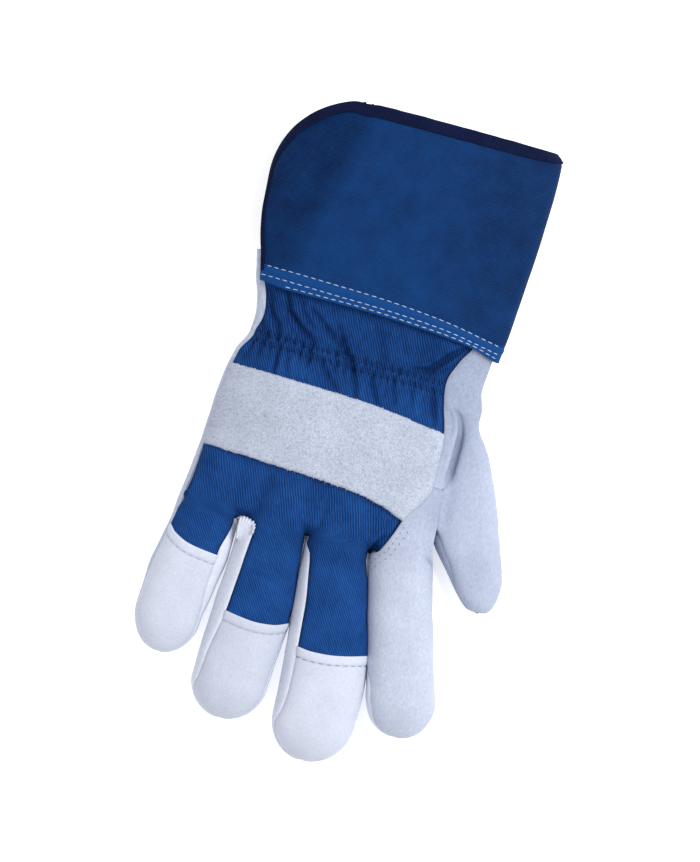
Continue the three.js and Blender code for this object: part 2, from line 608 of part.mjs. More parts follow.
// The cuff: one sheet wrapped from its back edge over the wrist, round the thumb's side and under,
// to its palm edge. Both edges run in a round corner into the mouth.
const CUFF_CELLS = 34;
const slanted = (x, y) => y - CUFF_SLANT * x * smooth(CUFF_SLANT_END_Y, CUFF_ROWS[0], y);
function cuffPoint(y, angle, power) {
  const { x } = sectionPoint(sectionOf(CUFF, y), angle, power);
  return sectionPoint(sectionOf(CUFF, slanted(x, y)), angle, power);
}

function cuffRow(y) {
  const section = sectionOf(CUFF, y);
  const power = section.value("power");
  const past = Math.max(0, y - CORNER_START_Y) / (CUFF_MOUTH_Y - CORNER_START_Y);
  const corner = CORNER_WIDTH * (1 - Math.sqrt(Math.max(0, 1 - past * past)));
  const left = section.centre - section.half + corner;
  const start = crownAngle(section, left + section.value("back_edge"), power);
  const over = steps(FINE_STEPS).map((t) => cuffPoint(y, mix(start, Math.PI / 2, t), power));
  const round = steps(2 * FINE_STEPS).slice(1).map((t) => cuffPoint(y, mix(Math.PI / 2, -Math.PI / 2, t)));
  const palmEdge = left + section.value("palm_edge");
  const edgeSection = sectionOf(CUFF, slanted(palmEdge, y));
  return shareOut([...over, ...round, vector(palmEdge, edgeSection.y, edgeSection.floor)], CUFF_CELLS);
}
addSheet("cuff", CUFF_ROWS.map(cuffRow).reverse(), CUFF_CLOTH, cuffBlue, { square: true });

// Which way a grid's cells lie round each point: a border point has an empty cell beside it, and
// inward holds the steps along the rows and columns that lead away from the empty side.
function inwardSteps(grid, i, j) {
  const point = (r, c) => grid[r]?.[c] ?? null;
  const empty = (di, dj) => !(point(i + di, j) && point(i, j + dj) && point(i + di, j + dj));
  const side = (down, up) => Math.sign(up - down);
  const [a, b, c, d] = [empty(1, 1), empty(1, -1), empty(-1, 1), empty(-1, -1)].map(Number);
  return { border: a + b + c + d > 0, along: side(a + b, c + d), across: side(a + c, b + d) };
}

// Where two sheets meet at a seam, both borders take the same normal, so that their walls mitre.
const SAME_PLACE = 0.4;
const UP_THE_GLOVE = vector(0, 1, 0);
const borders = [];
for (const sheet of sheets) {
  const point = (i, j) => sheet.grid[i]?.[j] ?? null;
  sheet.normals = sheet.grid.map((row, i) =>
    row.map((here, j) => {
      if (!here) return null;
      const along = (point(i - 1, j) || here).clone().sub(point(i + 1, j) || here);
      const across = (point(i, j + 1) || here).clone().sub(point(i, j - 1) || here);
      const normal = across.cross(sheet.square ? UP_THE_GLOVE : along).normalize();
      const { border } = inwardSteps(sheet.grid, i, j);
      if (border) borders.push({ here, normal, sum: normal.clone() });
      return normal;
    }),
  );
}
for (const border of borders) {
  for (const other of borders) {
    if (other !== border && other.here.distanceTo(border.here) < SAME_PLACE) border.sum.add(other.normal);
  }
}
for (const border of borders) border.normal.copy(border.sum.normalize());

function meshOf(name, positions, material) {
  const geometry = new THREE.BufferGeometry();
  geometry.setAttribute("position", new THREE.Float32BufferAttribute(positions, 3));
  geometry.computeVertexNormals();
  const mesh = new THREE.Mesh(geometry, material);
  mesh.name = name;
  return mesh;
}

// The wall of a sheet. Its borders are drawn in by half a seam's gap, and its inside follows the
// outside at the wall's thickness.
function wallOf(sheet) {
  const { grid, normals, thickness } = sheet;
  const point = (i, j) => grid[i]?.[j] ?? null;
  const inCell = (i, j) => point(i, j) && point(i + 1, j) && point(i, j + 1) && point(i + 1, j + 1);
  sheet.outside = grid.map((row, i) =>
    row.map((here, j) => {
      if (!here) return null;
      const { along, across } = inwardSteps(grid, i, j);
      const drawn = here.clone();
      for (const next of [point(i + along, j), point(i, j + across)]) {
        drawn.addScaledVector(next.clone().sub(here).normalize(), SEAM_GAP / 2);
      }
      return drawn;
    }),
  );
  sheet.inside = sheet.outside.map((row, i) =>
    row.map((p, j) => p && p.clone().addScaledVector(normals[i][j], -thickness)),
  );
  const positions = [];
  const quad = (a, b, c, d) => {
    for (const p of [a, b, c, a, c, d]) positions.push(p.x, p.y, p.z);
  };
  for (let i = 0; i + 1 < grid.length; i++) {
    for (let j = 0; j + 1 < grid[0].length; j++) {
      if (!inCell(i, j)) continue;
      const corners = [[i + 1, j], [i + 1, j + 1], [i, j + 1], [i, j]];
      const beside = [[i + 1, j], [i, j + 1], [i - 1, j], [i, j - 1]];
      quad(...corners.map(([r, c]) => sheet.outside[r][c]));
      quad(...corners.map(([r, c]) => sheet.inside[r][c]).reverse());
      beside.forEach(([r, c], k) => {
        if (inCell(r, c)) return;
        const [[r0, c0], [r1, c1]] = [corners[k], corners[(k + 1) % 4]];
        quad(sheet.inside[r0][c0], sheet.inside[r1][c1], sheet.outside[r1][c1], sheet.outside[r0][c0]);
      });
    }
  }
  return meshOf(sheet.name, positions, sheet.material);
}

// The tape, folded over the cuff's edge from one side of the slit, round the mouth, to the other.
function edgeStations({ outside, inside }) {
  const start = CUFF_ROWS.length - 1 - CUFF_ROWS.indexOf(TAPE_START_Y);
  const end = outside[0].length - 1;
  const walk = [];
  for (let i = start; i > 0; i--) walk.push([i, 0, 0, 1]);
  for (let j = 0; j <= end; j++) walk.push([0, j, 1, j === 0 ? 1 : j === end ? -1 : 0]);
  for (let i = 1; i <= start; i++) walk.push([i, end, 0, -1]);
  return walk.map(([i, j, di, dj]) => {
    const edge = outside[i][j].clone().lerp(inside[i][j], 0.5);
    const next = outside[i + di][j + dj].clone().lerp(inside[i + di][j + dj], 0.5);
    const normal = outside[i][j].clone().sub(inside[i][j]).normalize();
    return { edge, normal, inward: next.sub(edge) };
  });
}

function tapeOf(stations) {
  const face = CUFF_CLOTH / 2 + SEAM_GAP;
  const fold = -SEAM_GAP;
  const profile = [
    [TAPE_DEPTH, face + TAPE],
    [fold - TAPE, face + TAPE],
    [fold - TAPE, -face - TAPE],
    [TAPE_DEPTH, -face - TAPE],
    [TAPE_DEPTH, -face],
    [fold, -face],
    [fold, face],
    [TAPE_DEPTH, face],
  ].map(([u, v]) => new THREE.Vector2(u, v));
  const rings = stations.map(({ edge, normal, inward }, n) => {
    const before = stations[Math.max(0, n - 1)].edge;
    const after = stations[Math.min(stations.length - 1, n + 1)].edge;
    const across = normal.clone().cross(after.clone().sub(before)).normalize();
    if (across.dot(inward) < 0) across.negate();
    return profile.map((p) => edge.clone().addScaledVector(across, p.x).addScaledVector(normal, p.y));
  });
  const positions = [];
  const triangle = (a, b, c) => positions.push(...a, ...b, ...c);
  for (let i = 0; i + 1 < rings.length; i++) {
    for (let k = 0; k < profile.length; k++) {
      const m = (k + 1) % profile.length;
      triangle(rings[i][k], rings[i + 1][m], rings[i][m]);
      triangle(rings[i][k], rings[i + 1][k], rings[i + 1][m]);
    }
  }
  const [firstRing, lastRing] = [rings[0], rings[rings.length - 1]];
  for (const [a, b, c] of THREE.ShapeUtils.triangulateShape(profile, [])) {
    triangle(firstRing[a], firstRing[b], firstRing[c]);
    triangle(lastRing[c], lastRing[b], lastRing[a]);
  }
  return meshOf("cuff_binding", positions, tapeNavy);
}

const glove = new THREE.Group();
glove.add(...sheets.map(wallOf));
glove.add(tapeOf(edgeStations(sheets.find((sheet) => sheet.name === "cuff"))));
glove.position.set(-BOX_CENTRE.x, -BOX_CENTRE.y, 0);
const rigger = new THREE.Group();
rigger.add(glove);
export default rigger;
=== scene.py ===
import bpy
import numpy as np
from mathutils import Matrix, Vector
from mathutils.bvhtree import BVHTree
from mathutils.kdtree import KDTree


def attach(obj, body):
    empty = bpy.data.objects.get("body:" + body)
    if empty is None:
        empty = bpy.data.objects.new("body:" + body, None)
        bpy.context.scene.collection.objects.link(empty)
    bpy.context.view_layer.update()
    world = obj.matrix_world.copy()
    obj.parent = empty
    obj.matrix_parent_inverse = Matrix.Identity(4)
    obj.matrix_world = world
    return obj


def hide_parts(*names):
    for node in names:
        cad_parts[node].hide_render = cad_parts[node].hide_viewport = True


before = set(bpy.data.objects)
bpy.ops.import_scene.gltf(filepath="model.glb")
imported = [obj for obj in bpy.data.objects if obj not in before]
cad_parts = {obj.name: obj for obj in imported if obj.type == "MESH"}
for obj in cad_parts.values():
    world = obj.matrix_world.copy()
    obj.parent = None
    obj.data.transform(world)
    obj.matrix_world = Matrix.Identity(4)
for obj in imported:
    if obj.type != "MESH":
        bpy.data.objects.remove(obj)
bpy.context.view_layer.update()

# ---------------------------------------------------------------------------------------------------
# The palm: one piece of split cowhide under the hand and four fingers, about 1.8 mm thick. It is
# folded up the little finger's side and sewn there to the back, and round each finger to its side
# walls.
# ---------------------------------------------------------------------------------------------------

PALM_LEATHER = 1.8
# The middle of the glove's outline on the table is the part's origin.
GLOVE_MIDDLE = (5.2, -1.5, 0.0)
WRIST_END_Y, THUMB_WEB_Y, WEB_Y, CROTCH_Y = 62, -30, -47, -49
# The valleys between the fingers run up the hand to here.
VALLEY_END_Y = -12
# A section's widest place as a share of its height, and how round it is above and below it.
SIDE_SHARE, CROWN_POWER, BELLY_POWER, BELLY_REACH = 0.42, 2.4, 3.4, 1.15
# The palm's seams lie this angle below the widest place.
SEAM_ANGLE = 0.45
# How fast crown and belly close towards a fingertip, where its last row lies, just short of the point,
# and the widest lap of a side wall, as a share of half the finger's width.
TIP_CROWN_POWER, TIP_BELLY_POWER, LAST_ROW, WIDEST_LAP = 0.8, 0.55, 0.99995, 0.5
THUMB_ROUND_Y, THUMB_TIP_Y, THUMB_TIP_SIDE, THUMB_TIP_FLOOR = -45, -59.4, 7.6, 4.2
FINE = np.linspace(0, 1, 97)


def table(columns, *rows):
    """Named columns of a table whose first column is its key."""
    held = np.array(sorted(rows), float)
    return {"keys": held[:, 0], **{name: held[:, k] for k, name in enumerate(columns.split())}}


HAND = table(
    "y left right top wrap floor",
    (62, -56.0, 50.4, 21.5, 4.0, 3.0),
    (52, -54.2, 49.6, 20.6, 3.6, 2.9),
    (43, -51.2, 49.4, 19.8, 3.5, 2.5),
    (36, -49.9, 49.0, 19.2, 3.0, 0),
    (29, -50.2, 48.5, 18.8, 1.4, 0),
    (20, -54.4, 50.2, 20.8, 1.2, 0),
    (10, -56.2, 50.0, 23.3, 1.2, 0),
    (-5, -57.4, 46.0, 25.0, 1.2, 0),
    (-20, -58.3, 45.0, 25.0, 1.2, 0),
    (-35, -58.7, 45.6, 24.0, 1.2, 0),
    (-49, -61.4, 48.3, 22.0, 1.2, 0),
)
LITTLE = table(
    "y left right top lap_left lap_right",
    (-12, -58.0, -34.0, 23.0, 1.2, 1.2),
    (-49, -61.4, -34.7, 20.6, 1.2, 1.3),
    (-63, -63.7, -34.9, 19.8, 1.0, 4.1),
    (-76, -65.7, -36.8, 19.2, 0.5, 3.0),
    (-84, -66.1, -38.0, 18.9, 0.3, 1.8),
    (-92, -66.4, -39.2, 18.6, 0.2, 0.5),
    (-108.2, -66.4, -39.6, 17.5, 0.2, 0.2),
)
RING = table(
    "y left right top lap_left lap_right",
    (-12, -33.0, -6.4, 24.2, 1.2, 0.2),
    (-49, -33.7, -5.9, 22.0, 6.2, 0.1),
    (-63, -34.1, -4.6, 21.2, 5.6, 0.1),
    (-80, -35.3, -3.3, 20.4, 5.6, 0.1),
    (-92, -35.9, -4.3, 19.9, 4.4, 0.2),
    (-102, -36.4, -5.0, 19.4, 3.1, 0.2),
    (-113, -36.6, -5.6, 19.0, 2.3, 0.2),
    (-120, -36.5, -6.1, 18.5, 0.4, 0.2),
    (-128, -36.4, -6.6, 18.0, 0.2, 0.2),
)
MIDDLE = table(
    "y left right top lap_left lap_right",
    (-12, -5.4, 19.8, 24.6, 0.2, 0.2),
    (-49, -5.8, 20.8, 22.6, 0.3, 0.2),
    (-53, -5.4, 21.8, 22.4, 2.2, 0.2),
    (-58, -5.3, 23.4, 22.2, 3.3, 0.1),
    (-75, -4.1, 27.8, 21.4, 4.9, 0.1),
    (-92, -2.3, 32.0, 20.6, 4.4, 0.1),
    (-108, -1.1, 33.3, 20.0, 4.1, 0.2),
    (-118, -0.6, 33.2, 19.4, 2.7, 0.2),
    (-124, -0.8, 33.1, 19.0, 0.8, 0.2),
    (-136.2, -1.4, 32.6, 18.4, 0.2, 0.2),
)
INDEX = table(
    "y left right top lap_left lap_right",
    (-12, 20.4, 44.4, 24.2, 0.2, 0.2),
    (-30, 20.5, 44.9, 23.6, 0.2, 0.2),
    (-36, 20.6, 45.2, 23.4, 0.2, 0.2),
    (-49, 20.9, 48.3, 22.0, 0.2, 0.2),
    (-63, 24.0, 52.1, 21.2, 0.1, 0.2),
    (-80, 28.5, 56.8, 20.4, 0.1, 0.2),
    (-92, 31.6, 60.4, 19.8, 0.4, 0.2),
    (-101, 34.0, 63.2, 19.4, 1.5, 0.2),
    (-108, 34.8, 64.0, 18.9, 1.7, 0.2),
    (-113, 34.6, 64.3, 18.6, 1.2, 0.2),
    (-117.2, 35.0, 64.4, 18.4, 0.2, 0.2),
)
FINGERS = {
    "little": {"rows": LITTLE, "hem": -60.6, "round": 16, "tip": -108.2},
    "ring": {"rows": RING, "hem": -85.2, "round": 15, "tip": -128},
    "middle": {"rows": MIDDLE, "hem": -90.6, "round": 18.2, "tip": -136.2},
    "index": {"rows": INDEX, "hem": -72, "round": 16, "tip": -117.2},
}
# Above the crotch the thumb's front meets the palm at the place seam and the height seam_z. Below it
# the thumb's front shows for the width lap, up to the seam of its back.
THUMB = table(
    "y left right top seam seam_z lap",
    (62, 34.0, 50.4, 17.8, 43.4, 4.9, 0.8),
    (52, 34.0, 49.6, 17.7, 42.8, 4.7, 0.8),
    (43, 34.0, 49.4, 17.6, 41.6, 3.9, 0.8),
    (36, 35.0, 49.0, 17.4, 42.4, 0, 0.8),
    (29, 36.0, 48.6, 17.0, 41.0, 0, 0.8),
    (20, 37.4, 50.2, 16.8, 40.4, 0, 0.8),
    (12, 40.4, 54.2, 16.2, 40.2, 0, 0.8),
    (4, 41.2, 58.0, 15.8, 40.2, 0, 0.8),
    (-5, 41.6, 62.0, 15.9, 40.8, 0, 0.8),
    (-20, 42.2, 68.2, 16.4, 42.2, 0, 0.8),
    (-30, 43.4, 71.8, 16.8, 43.6, 0, 0.8),
    (-33, 44.0, 72.9, 16.8, 44.4, 0, 2.4),
    (-37, 45.8, 74.4, 16.8, 45.8, 0, 3.5),
    (-41, 49.0, 75.4, 16.6, 49.0, 0, 3.1),
    (-47, 54.2, 76.5, 16.1, 54.2, 0, 1.6),
    (-51, 57.4, 76.8, 15.6, 57.4, 0, 0.9),
    (-55.6, 61.6, 75.9, 14.4, 61.6, 0, 0.8),
    (-58.4, 65.0, 74.0, 12.4, 65.4, 0, 0.8),
    (-59.4, 69.0, 70.6, 10.8, 69.2, 0, 0.8),
)
DRILL_EDGE = table("y x", (62, 44.0), (46, 40.6), (38, 36.2), (29, 33.2), (20, 34.6), (8, 37.6),
                   (-14, 38.4), (-30, 30.4), (-36, 28.2), (-42, 25.6), (-45, 23.8), (WEB_Y, 20.7))


def mix(a, b, t):
    return a + (b - a) * t


def smooth(start, end, value):
    t = np.clip((value - start) / (end - start), 0, 1)
    return t * t * (3 - 2 * t)


def at(rows, value, column):
    """A column of a table at any values of its key, along a curve that never overshoots its rows."""
    keys, held = rows["keys"], rows[column]
    slope = np.diff(held) / np.diff(keys)
    product, total = slope[:-1] * slope[1:], slope[:-1] + slope[1:]
    inner = np.where(product > 0, 2 * product / np.where(product > 0, total, 1), 0)
    tangent = np.concatenate([slope[:1], inner, slope[-1:]])
    value = np.clip(np.asarray(value, float), keys[0], keys[-1])
    i = np.clip(np.searchsorted(keys, value, side="right") - 1, 0, len(keys) - 2)
    span = keys[i + 1] - keys[i]
    t = (value - keys[i]) / span
    eased = mix(held[i], held[i + 1], t * t * (3 - 2 * t))
    return eased + span * t * (1 - t) * (tangent[i] * (1 - t) - tangent[i + 1] * t)


def signed_power(value, power):
    return np.sign(value) * np.abs(value) ** power


def section(rows, y):
    """The glove's section at heights y: a rounded crown over a belly that rests on the table."""
    left, right, top = at(rows, y, "left"), at(rows, y, "right"), at(rows, y, "top")
    floor = at(rows, y, "floor") if "floor" in rows else np.zeros_like(top)
    return {"y": np.asarray(y, float), "centre": (left + right) / 2, "half": (right - left) / 2,
            "top": top, "side": mix(floor, top, SIDE_SHARE), "floor": floor}


def finger_section(name, y):
    """A finger's section, closing round its tip, and where its side walls' seams lie."""
    finger = FINGERS[name]
    cut = section(finger["rows"], y)
    past = np.clip((finger["tip"] + finger["round"] - y) / finger["round"], 0, 1)
    shrink = np.sqrt(1 - past**2)
    cut["half"] = cut["half"] * shrink
    cut["top"] = mix(cut["side"], cut["top"], shrink**TIP_CROWN_POWER)
    cut["floor"] = cut["side"] * (1 - shrink**TIP_BELLY_POWER)
    most = cut["half"] * WIDEST_LAP
    cut["left_seam"] = cut["centre"] - cut["half"] + np.minimum(at(finger["rows"], y, "lap_left"), most)
    cut["right_seam"] = cut["centre"] + cut["half"] - np.minimum(at(finger["rows"], y, "lap_right"), most)
    return cut


def thumb_section(y):
    cut = section(THUMB, y)
    closing = smooth(THUMB_ROUND_Y, THUMB_TIP_Y, y)
    cut["side"] = mix(cut["side"], THUMB_TIP_SIDE, closing)
    cut["floor"] = THUMB_TIP_FLOOR * closing**2
    lap = np.minimum(at(THUMB, y, "lap"), cut["half"] * WIDEST_LAP)
    cut["left_seam"] = cut["centre"] - cut["half"] + lap
    return cut


def crown_angle(cut, x, power=CROWN_POWER):
    """The angle on a section's crown that lies above x."""
    across = np.clip((x - cut["centre"]) / cut["half"], -1, 1)
    return np.arccos(signed_power(across, power / 2))


def arc(cut, start, end, power=CROWN_POWER):
    """A line round each section from one angle to another: 0 faces the thumb, a quarter turn up."""
    start, end = np.broadcast_to(start, cut["y"].shape), np.broadcast_to(end, cut["y"].shape)
    angle = mix(start[:, None], end[:, None], FINE)
    row = {name: value[:, None] for name, value in cut.items()}
    x = row["centre"] + row["half"] * signed_power(np.cos(angle), 2 / np.asarray(power))
    rise = np.sin(angle)
    crown = (row["top"] - row["side"]) * np.abs(rise) ** (2 / np.asarray(power))
    belly = (row["side"] - row["floor"]) * BELLY_REACH * np.abs(rise) ** (2 / BELLY_POWER)
    z = np.where(rise >= 0, row["side"] + crown, np.maximum(row["floor"], row["side"] - belly))
    return np.stack([x, np.broadcast_to(row["y"], x.shape), z], 2)


def shared(lines, cells):
    """Each line as cells + 1 points, equally spaced along it."""
    step = np.linalg.norm(np.diff(lines, axis=1), axis=2)
    run = np.concatenate([np.zeros((len(lines), 1)), np.cumsum(step, 1)], 1)
    share = np.linspace(0, 1, cells + 1)
    found = [[np.interp(share * r[-1], r, line[:, k]) for k in range(3)] for line, r in zip(lines, run)]
    return np.array(found).transpose(0, 2, 1)


def points(x, y, z):
    return np.stack(np.broadcast_arrays(np.asarray(x, float), y, z), -1)


def drill_edges(y):
    """The drill's two long edges: beside the palm's wrap, and along its slanting seam."""
    return at(HAND, y, "left") + at(HAND, y, "wrap"), at(DRILL_EDGE, y, "x")


def palm_seam(y):
    """Where the palm meets the thumb's front."""
    cut = thumb_section(y)
    under = arc(cut, np.pi + SEAM_ANGLE, np.pi + SEAM_ANGLE)[:, 0]
    beside = points(at(THUMB, y, "seam"), y, at(THUMB, y, "seam_z"))
    return np.where((y <= THUMB_WEB_Y)[:, None], under, beside)


def tip_rows(name, curved):
    """Heights round a fingertip, from where it starts to close to just short of its point."""
    finger = FINGERS[name]
    turn = np.linspace(0, np.pi / 2, curved + 1)
    return finger["tip"] + finger["round"] - finger["round"] * np.sin(turn) * LAST_ROW


def finger_rows(name, straight, curved):
    """Heights from the web to a fingertip."""
    tip = tip_rows(name, curved)
    return np.concatenate([np.linspace(CROTCH_Y, tip[0], straight + 1), tip[1:]])


def noise(x, y, size, seed):
    """Smooth random values from -1 to 1 with bumps about size millimetres across."""
    lattice = np.random.RandomState(seed).uniform(-1, 1, (64, 64))
    u, v = np.nan_to_num(x) / size, np.nan_to_num(y) / size
    i, j = np.floor(u).astype(int), np.floor(v).astype(int)
    a, b = u - i, v - j
    a, b = a * a * (3 - 2 * a), b * b * (3 - 2 * b)
    near = mix(lattice[i % 64, j % 64], lattice[(i + 1) % 64, j % 64], a)
    far = mix(lattice[i % 64, (j + 1) % 64], lattice[(i + 1) % 64, (j + 1) % 64], a)
    return mix(near, far, b)


def whole_cells(grid):
    """Which points of a grid are there, and which of its cells have all four corners."""
    there = ~np.isnan(grid[..., 0])
    return there, there[:-1, :-1] & there[1:, :-1] & there[:-1, 1:] & there[1:, 1:]


def facing(grid):
    """The way that each point of a grid faces."""
    def beside(di, dj):
        moved = np.full_like(grid, np.nan)
        rows, cols = grid.shape[:2]
        moved[max(0, -di):rows - max(0, di), max(0, -dj):cols - max(0, dj)] = \
            grid[max(0, di):rows + min(0, di), max(0, dj):cols + min(0, dj)]
        return np.where(np.isnan(moved), grid, moved)
    normal = np.cross(beside(0, 1) - beside(0, -1), beside(-1, 0) - beside(1, 0))
    return normal / np.maximum(np.linalg.norm(normal, axis=2, keepdims=True), 1e-9)


def relaxed(grid, passes):
    """The grid with its bends eased along its rows, its borders kept."""
    for _ in range(passes):
        eased = (grid[:, :-2] + grid[:, 2:] + 2 * grid[:, 1:-1]) / 4
        grid = grid.copy()
        grid[:, 1:-1] = np.where(np.isnan(eased), grid[:, 1:-1], eased)
    return grid


def from_border(grid, counts=None):
    """How far each point is from the grid's border, or from that part of it which counts."""
    there, whole = whole_cells(grid)
    around = np.zeros(there.shape, int)
    for di in (0, 1):
        for dj in (0, 1):
            around[di:di + whole.shape[0], dj:dj + whole.shape[1]] += whole
    border = there & (around < 4)
    if counts is not None:
        border &= counts
    tree = KDTree(int(border.sum()))
    for n, p in enumerate(grid[border]):
        tree.insert(p, n)
    tree.balance()
    away = np.full(there.shape, 1e3)
    away[there] = [tree.find(p)[2] for p in grid[there]]
    return away


def drawn_in(away, depth, width):
    """The dip that a turned seam leaves beside it."""
    return -depth * np.exp(-((away / width) ** 1.5))


def flat_map(grid):
    """Where each point lay on the flat cloth: each row is as long as the cloth across it."""
    flat = np.full(grid.shape[:2] + (2,), np.nan)
    there = ~np.isnan(grid[..., 0])
    step = np.linalg.norm(np.diff(grid, axis=1), axis=2)
    for i, row in enumerate(there):
        edges = np.flatnonzero(np.diff(np.concatenate([[0], row.astype(int), [0]])))
        for start, end in zip(edges[::2], edges[1::2]):
            run = np.concatenate([[0], np.cumsum(step[i, start:end - 1])])
            mid = (start + end) // 2 - start
            here = start + mid
            base = grid[i, here, 0]
            if i and there[i - 1, here]:
                base = flat[i - 1, here, 0] + grid[i, here, 0] - grid[i - 1, here, 0]
            flat[i, start:end, 0] = base + run - run[mid]
        flat[i, :, 1] = grid[i, :, 1]
    return flat


def new_piece(name, verts, faces, flat, marks, material):
    """An object at the origin from millimetre points and four-cornered faces."""
    mesh = bpy.data.meshes.new(name)
    piece = bpy.data.objects.new(name, mesh)
    bpy.context.scene.collection.objects.link(piece)
    mesh.vertices.add(len(verts))
    mesh.vertices.foreach_set("co", ((verts - GLOVE_MIDDLE) / 1000).astype(np.float32).ravel())
    mesh.loops.add(faces.size)
    mesh.loops.foreach_set("vertex_index", faces.astype(np.int32).ravel())
    mesh.polygons.add(len(faces))
    mesh.polygons.foreach_set("loop_start", np.arange(0, faces.size, 4, dtype=np.int32))
    mesh.polygons.foreach_set("use_smooth", np.ones(len(faces), bool))
    mesh.update(calc_edges=True)
    mesh.uv_layers.new(name="cloth").data.foreach_set("uv", flat[faces.ravel()].astype(np.float32).ravel())
    for mark, value in marks.items():
        attribute = mesh.attributes.new(mark, "FLOAT", "POINT")
        attribute.data.foreach_set("value", value.astype(np.float32))
    mesh.validate()
    mesh.materials.append(material)
    return piece


def cut_sheet(name, grid, thickness, lift, material, shade=0.0, drift=0.0, bulge=0.0):
    """A wall of leather or cloth: its outside on the grid, raised by lift, its inside a thickness below,
    closed by a rim that may bulge. Its UVs run along the cloth in millimetres, drift skews them, and
    shade makes places darker or paler, as painted shade or as the pieces' own tones."""
    there, whole = whole_cells(grid)
    normals = facing(grid)
    lift = np.broadcast_to(lift, there.shape)[..., None]
    thickness = np.broadcast_to(thickness, there.shape)[..., None]
    outer = (grid + normals * lift)[there]
    inner = (grid + normals * (np.minimum(lift, 0.3) - thickness))[there]
    total = len(outer)
    number = np.full(there.shape, -1)
    number[there] = np.arange(total)
    i, j = np.nonzero(whole)
    top = np.stack([number[i + 1, j], number[i + 1, j + 1], number[i, j + 1], number[i, j]], 1)
    padded = np.pad(whole, 1)
    rims = []
    for k, (di, dj) in enumerate([(1, 0), (0, 1), (-1, 0), (0, -1)]):
        edge = ~padded[i + 1 + di, j + 1 + dj]
        rims.append(np.stack([top[edge, k], top[edge, (k + 1) % 4]], 1))
    rims = np.concatenate(rims)
    used = np.unique(rims)
    place = np.full(total, -1)
    place[used] = 2 * total + np.arange(len(used))
    away = np.zeros((total, 3))
    centre = outer[top].mean(1)
    for k in range(4):
        np.add.at(away, top[:, k], outer[top[:, k]] - centre)
    out = away[used] / np.maximum(np.linalg.norm(away[used], axis=1, keepdims=True), 1e-9)
    verts = np.concatenate([outer, inner, (outer[used] + inner[used]) / 2 + out * bulge])
    verts[:, 2] = np.maximum(verts[:, 2], 0)
    a, b = rims[:, 0], rims[:, 1]
    faces = np.concatenate([top, top[:, ::-1] + total, np.stack([place[a], place[b], b, a], 1),
                            np.stack([a + total, b + total, place[b], place[a]], 1)])
    flat = flat_map(grid)
    flat[..., 0] += np.broadcast_to(drift, there.shape)
    flat, tone = flat[there], np.broadcast_to(shade, there.shape)[there]
    flat, tone = np.concatenate([flat, flat, flat[used]]), np.concatenate([tone, tone, tone[used]])
    return new_piece(name, verts, faces, flat, {"shade": tone}, material)


def colour(code):
    """An sRGB hex value as the linear colour that a shader takes."""
    srgb = np.array([int(code[k:k + 2], 16) / 255 for k in (0, 2, 4)])
    linear = np.where(srgb <= 0.04045, srgb / 12.92, ((srgb + 0.055) / 1.055) ** 2.4)
    return (*linear, 1.0)


def add(tree, kind, values=None, links=None, **settings):
    """Adds a node with its settings, its inputs' values and the sockets that feed them."""
    node = tree.nodes.new(kind)
    for name, value in settings.items():
        setattr(node, name, value)
    for key, value in (values or {}).items():
        node.inputs[key].default_value = value
    for key, socket in (links or {}).items():
        tree.links.new(socket, node.inputs[key])
    return node


def ranged(tree, value, low, high, least, most):
    """A value that runs from low to high, stretched to run from least to most."""
    sizes = {"From Min": low, "From Max": high, "To Min": least, "To Max": most}
    return add(tree, "ShaderNodeMapRange", sizes, {"Value": value}).outputs["Result"]


def marked(tree, grain, blotches):
    """A tone of grain and blotches, darker or paler by the mark shade, which holds painted shade and tones.
    """
    tone = add(tree, "ShaderNodeMath", None, {0: grain, 1: blotches}, operation="ADD")
    tone_and_painted_shade = add(tree, "ShaderNodeAttribute", attribute_name="shade")
    total = add(tree, "ShaderNodeMath", None, {0: tone.outputs["Value"], 1: tone_and_painted_shade.outputs["Fac"]},
                operation="ADD", use_clamp=True)
    return total.outputs["Value"]


def new_material(name):
    material = bpy.data.materials.new(name)
    material.use_nodes = True
    return material, material.node_tree


def painted(tree, dark, pale, tone, height, strength, depth, rough, gloss):
    """Paints a material between two colours by a tone, raises it by a height, depth millimetres deep,
    and sets how rough and glossy it is."""
    shader = tree.nodes["Principled BSDF"]
    paint = add(tree, "ShaderNodeMix", {6: colour(dark), 7: colour(pale)}, {0: tone}, data_type="RGBA")
    tree.links.new(paint.outputs[2], shader.inputs["Base Color"])
    bump = add(tree, "ShaderNodeBump", {"Strength": strength, "Distance": depth / 1000}, {"Height": height})
    tree.links.new(bump.outputs["Normal"], shader.inputs["Normal"])
    shader.inputs["Roughness"].default_value = rough
    shader.inputs["Specular IOR Level"].default_value = gloss
    return shader


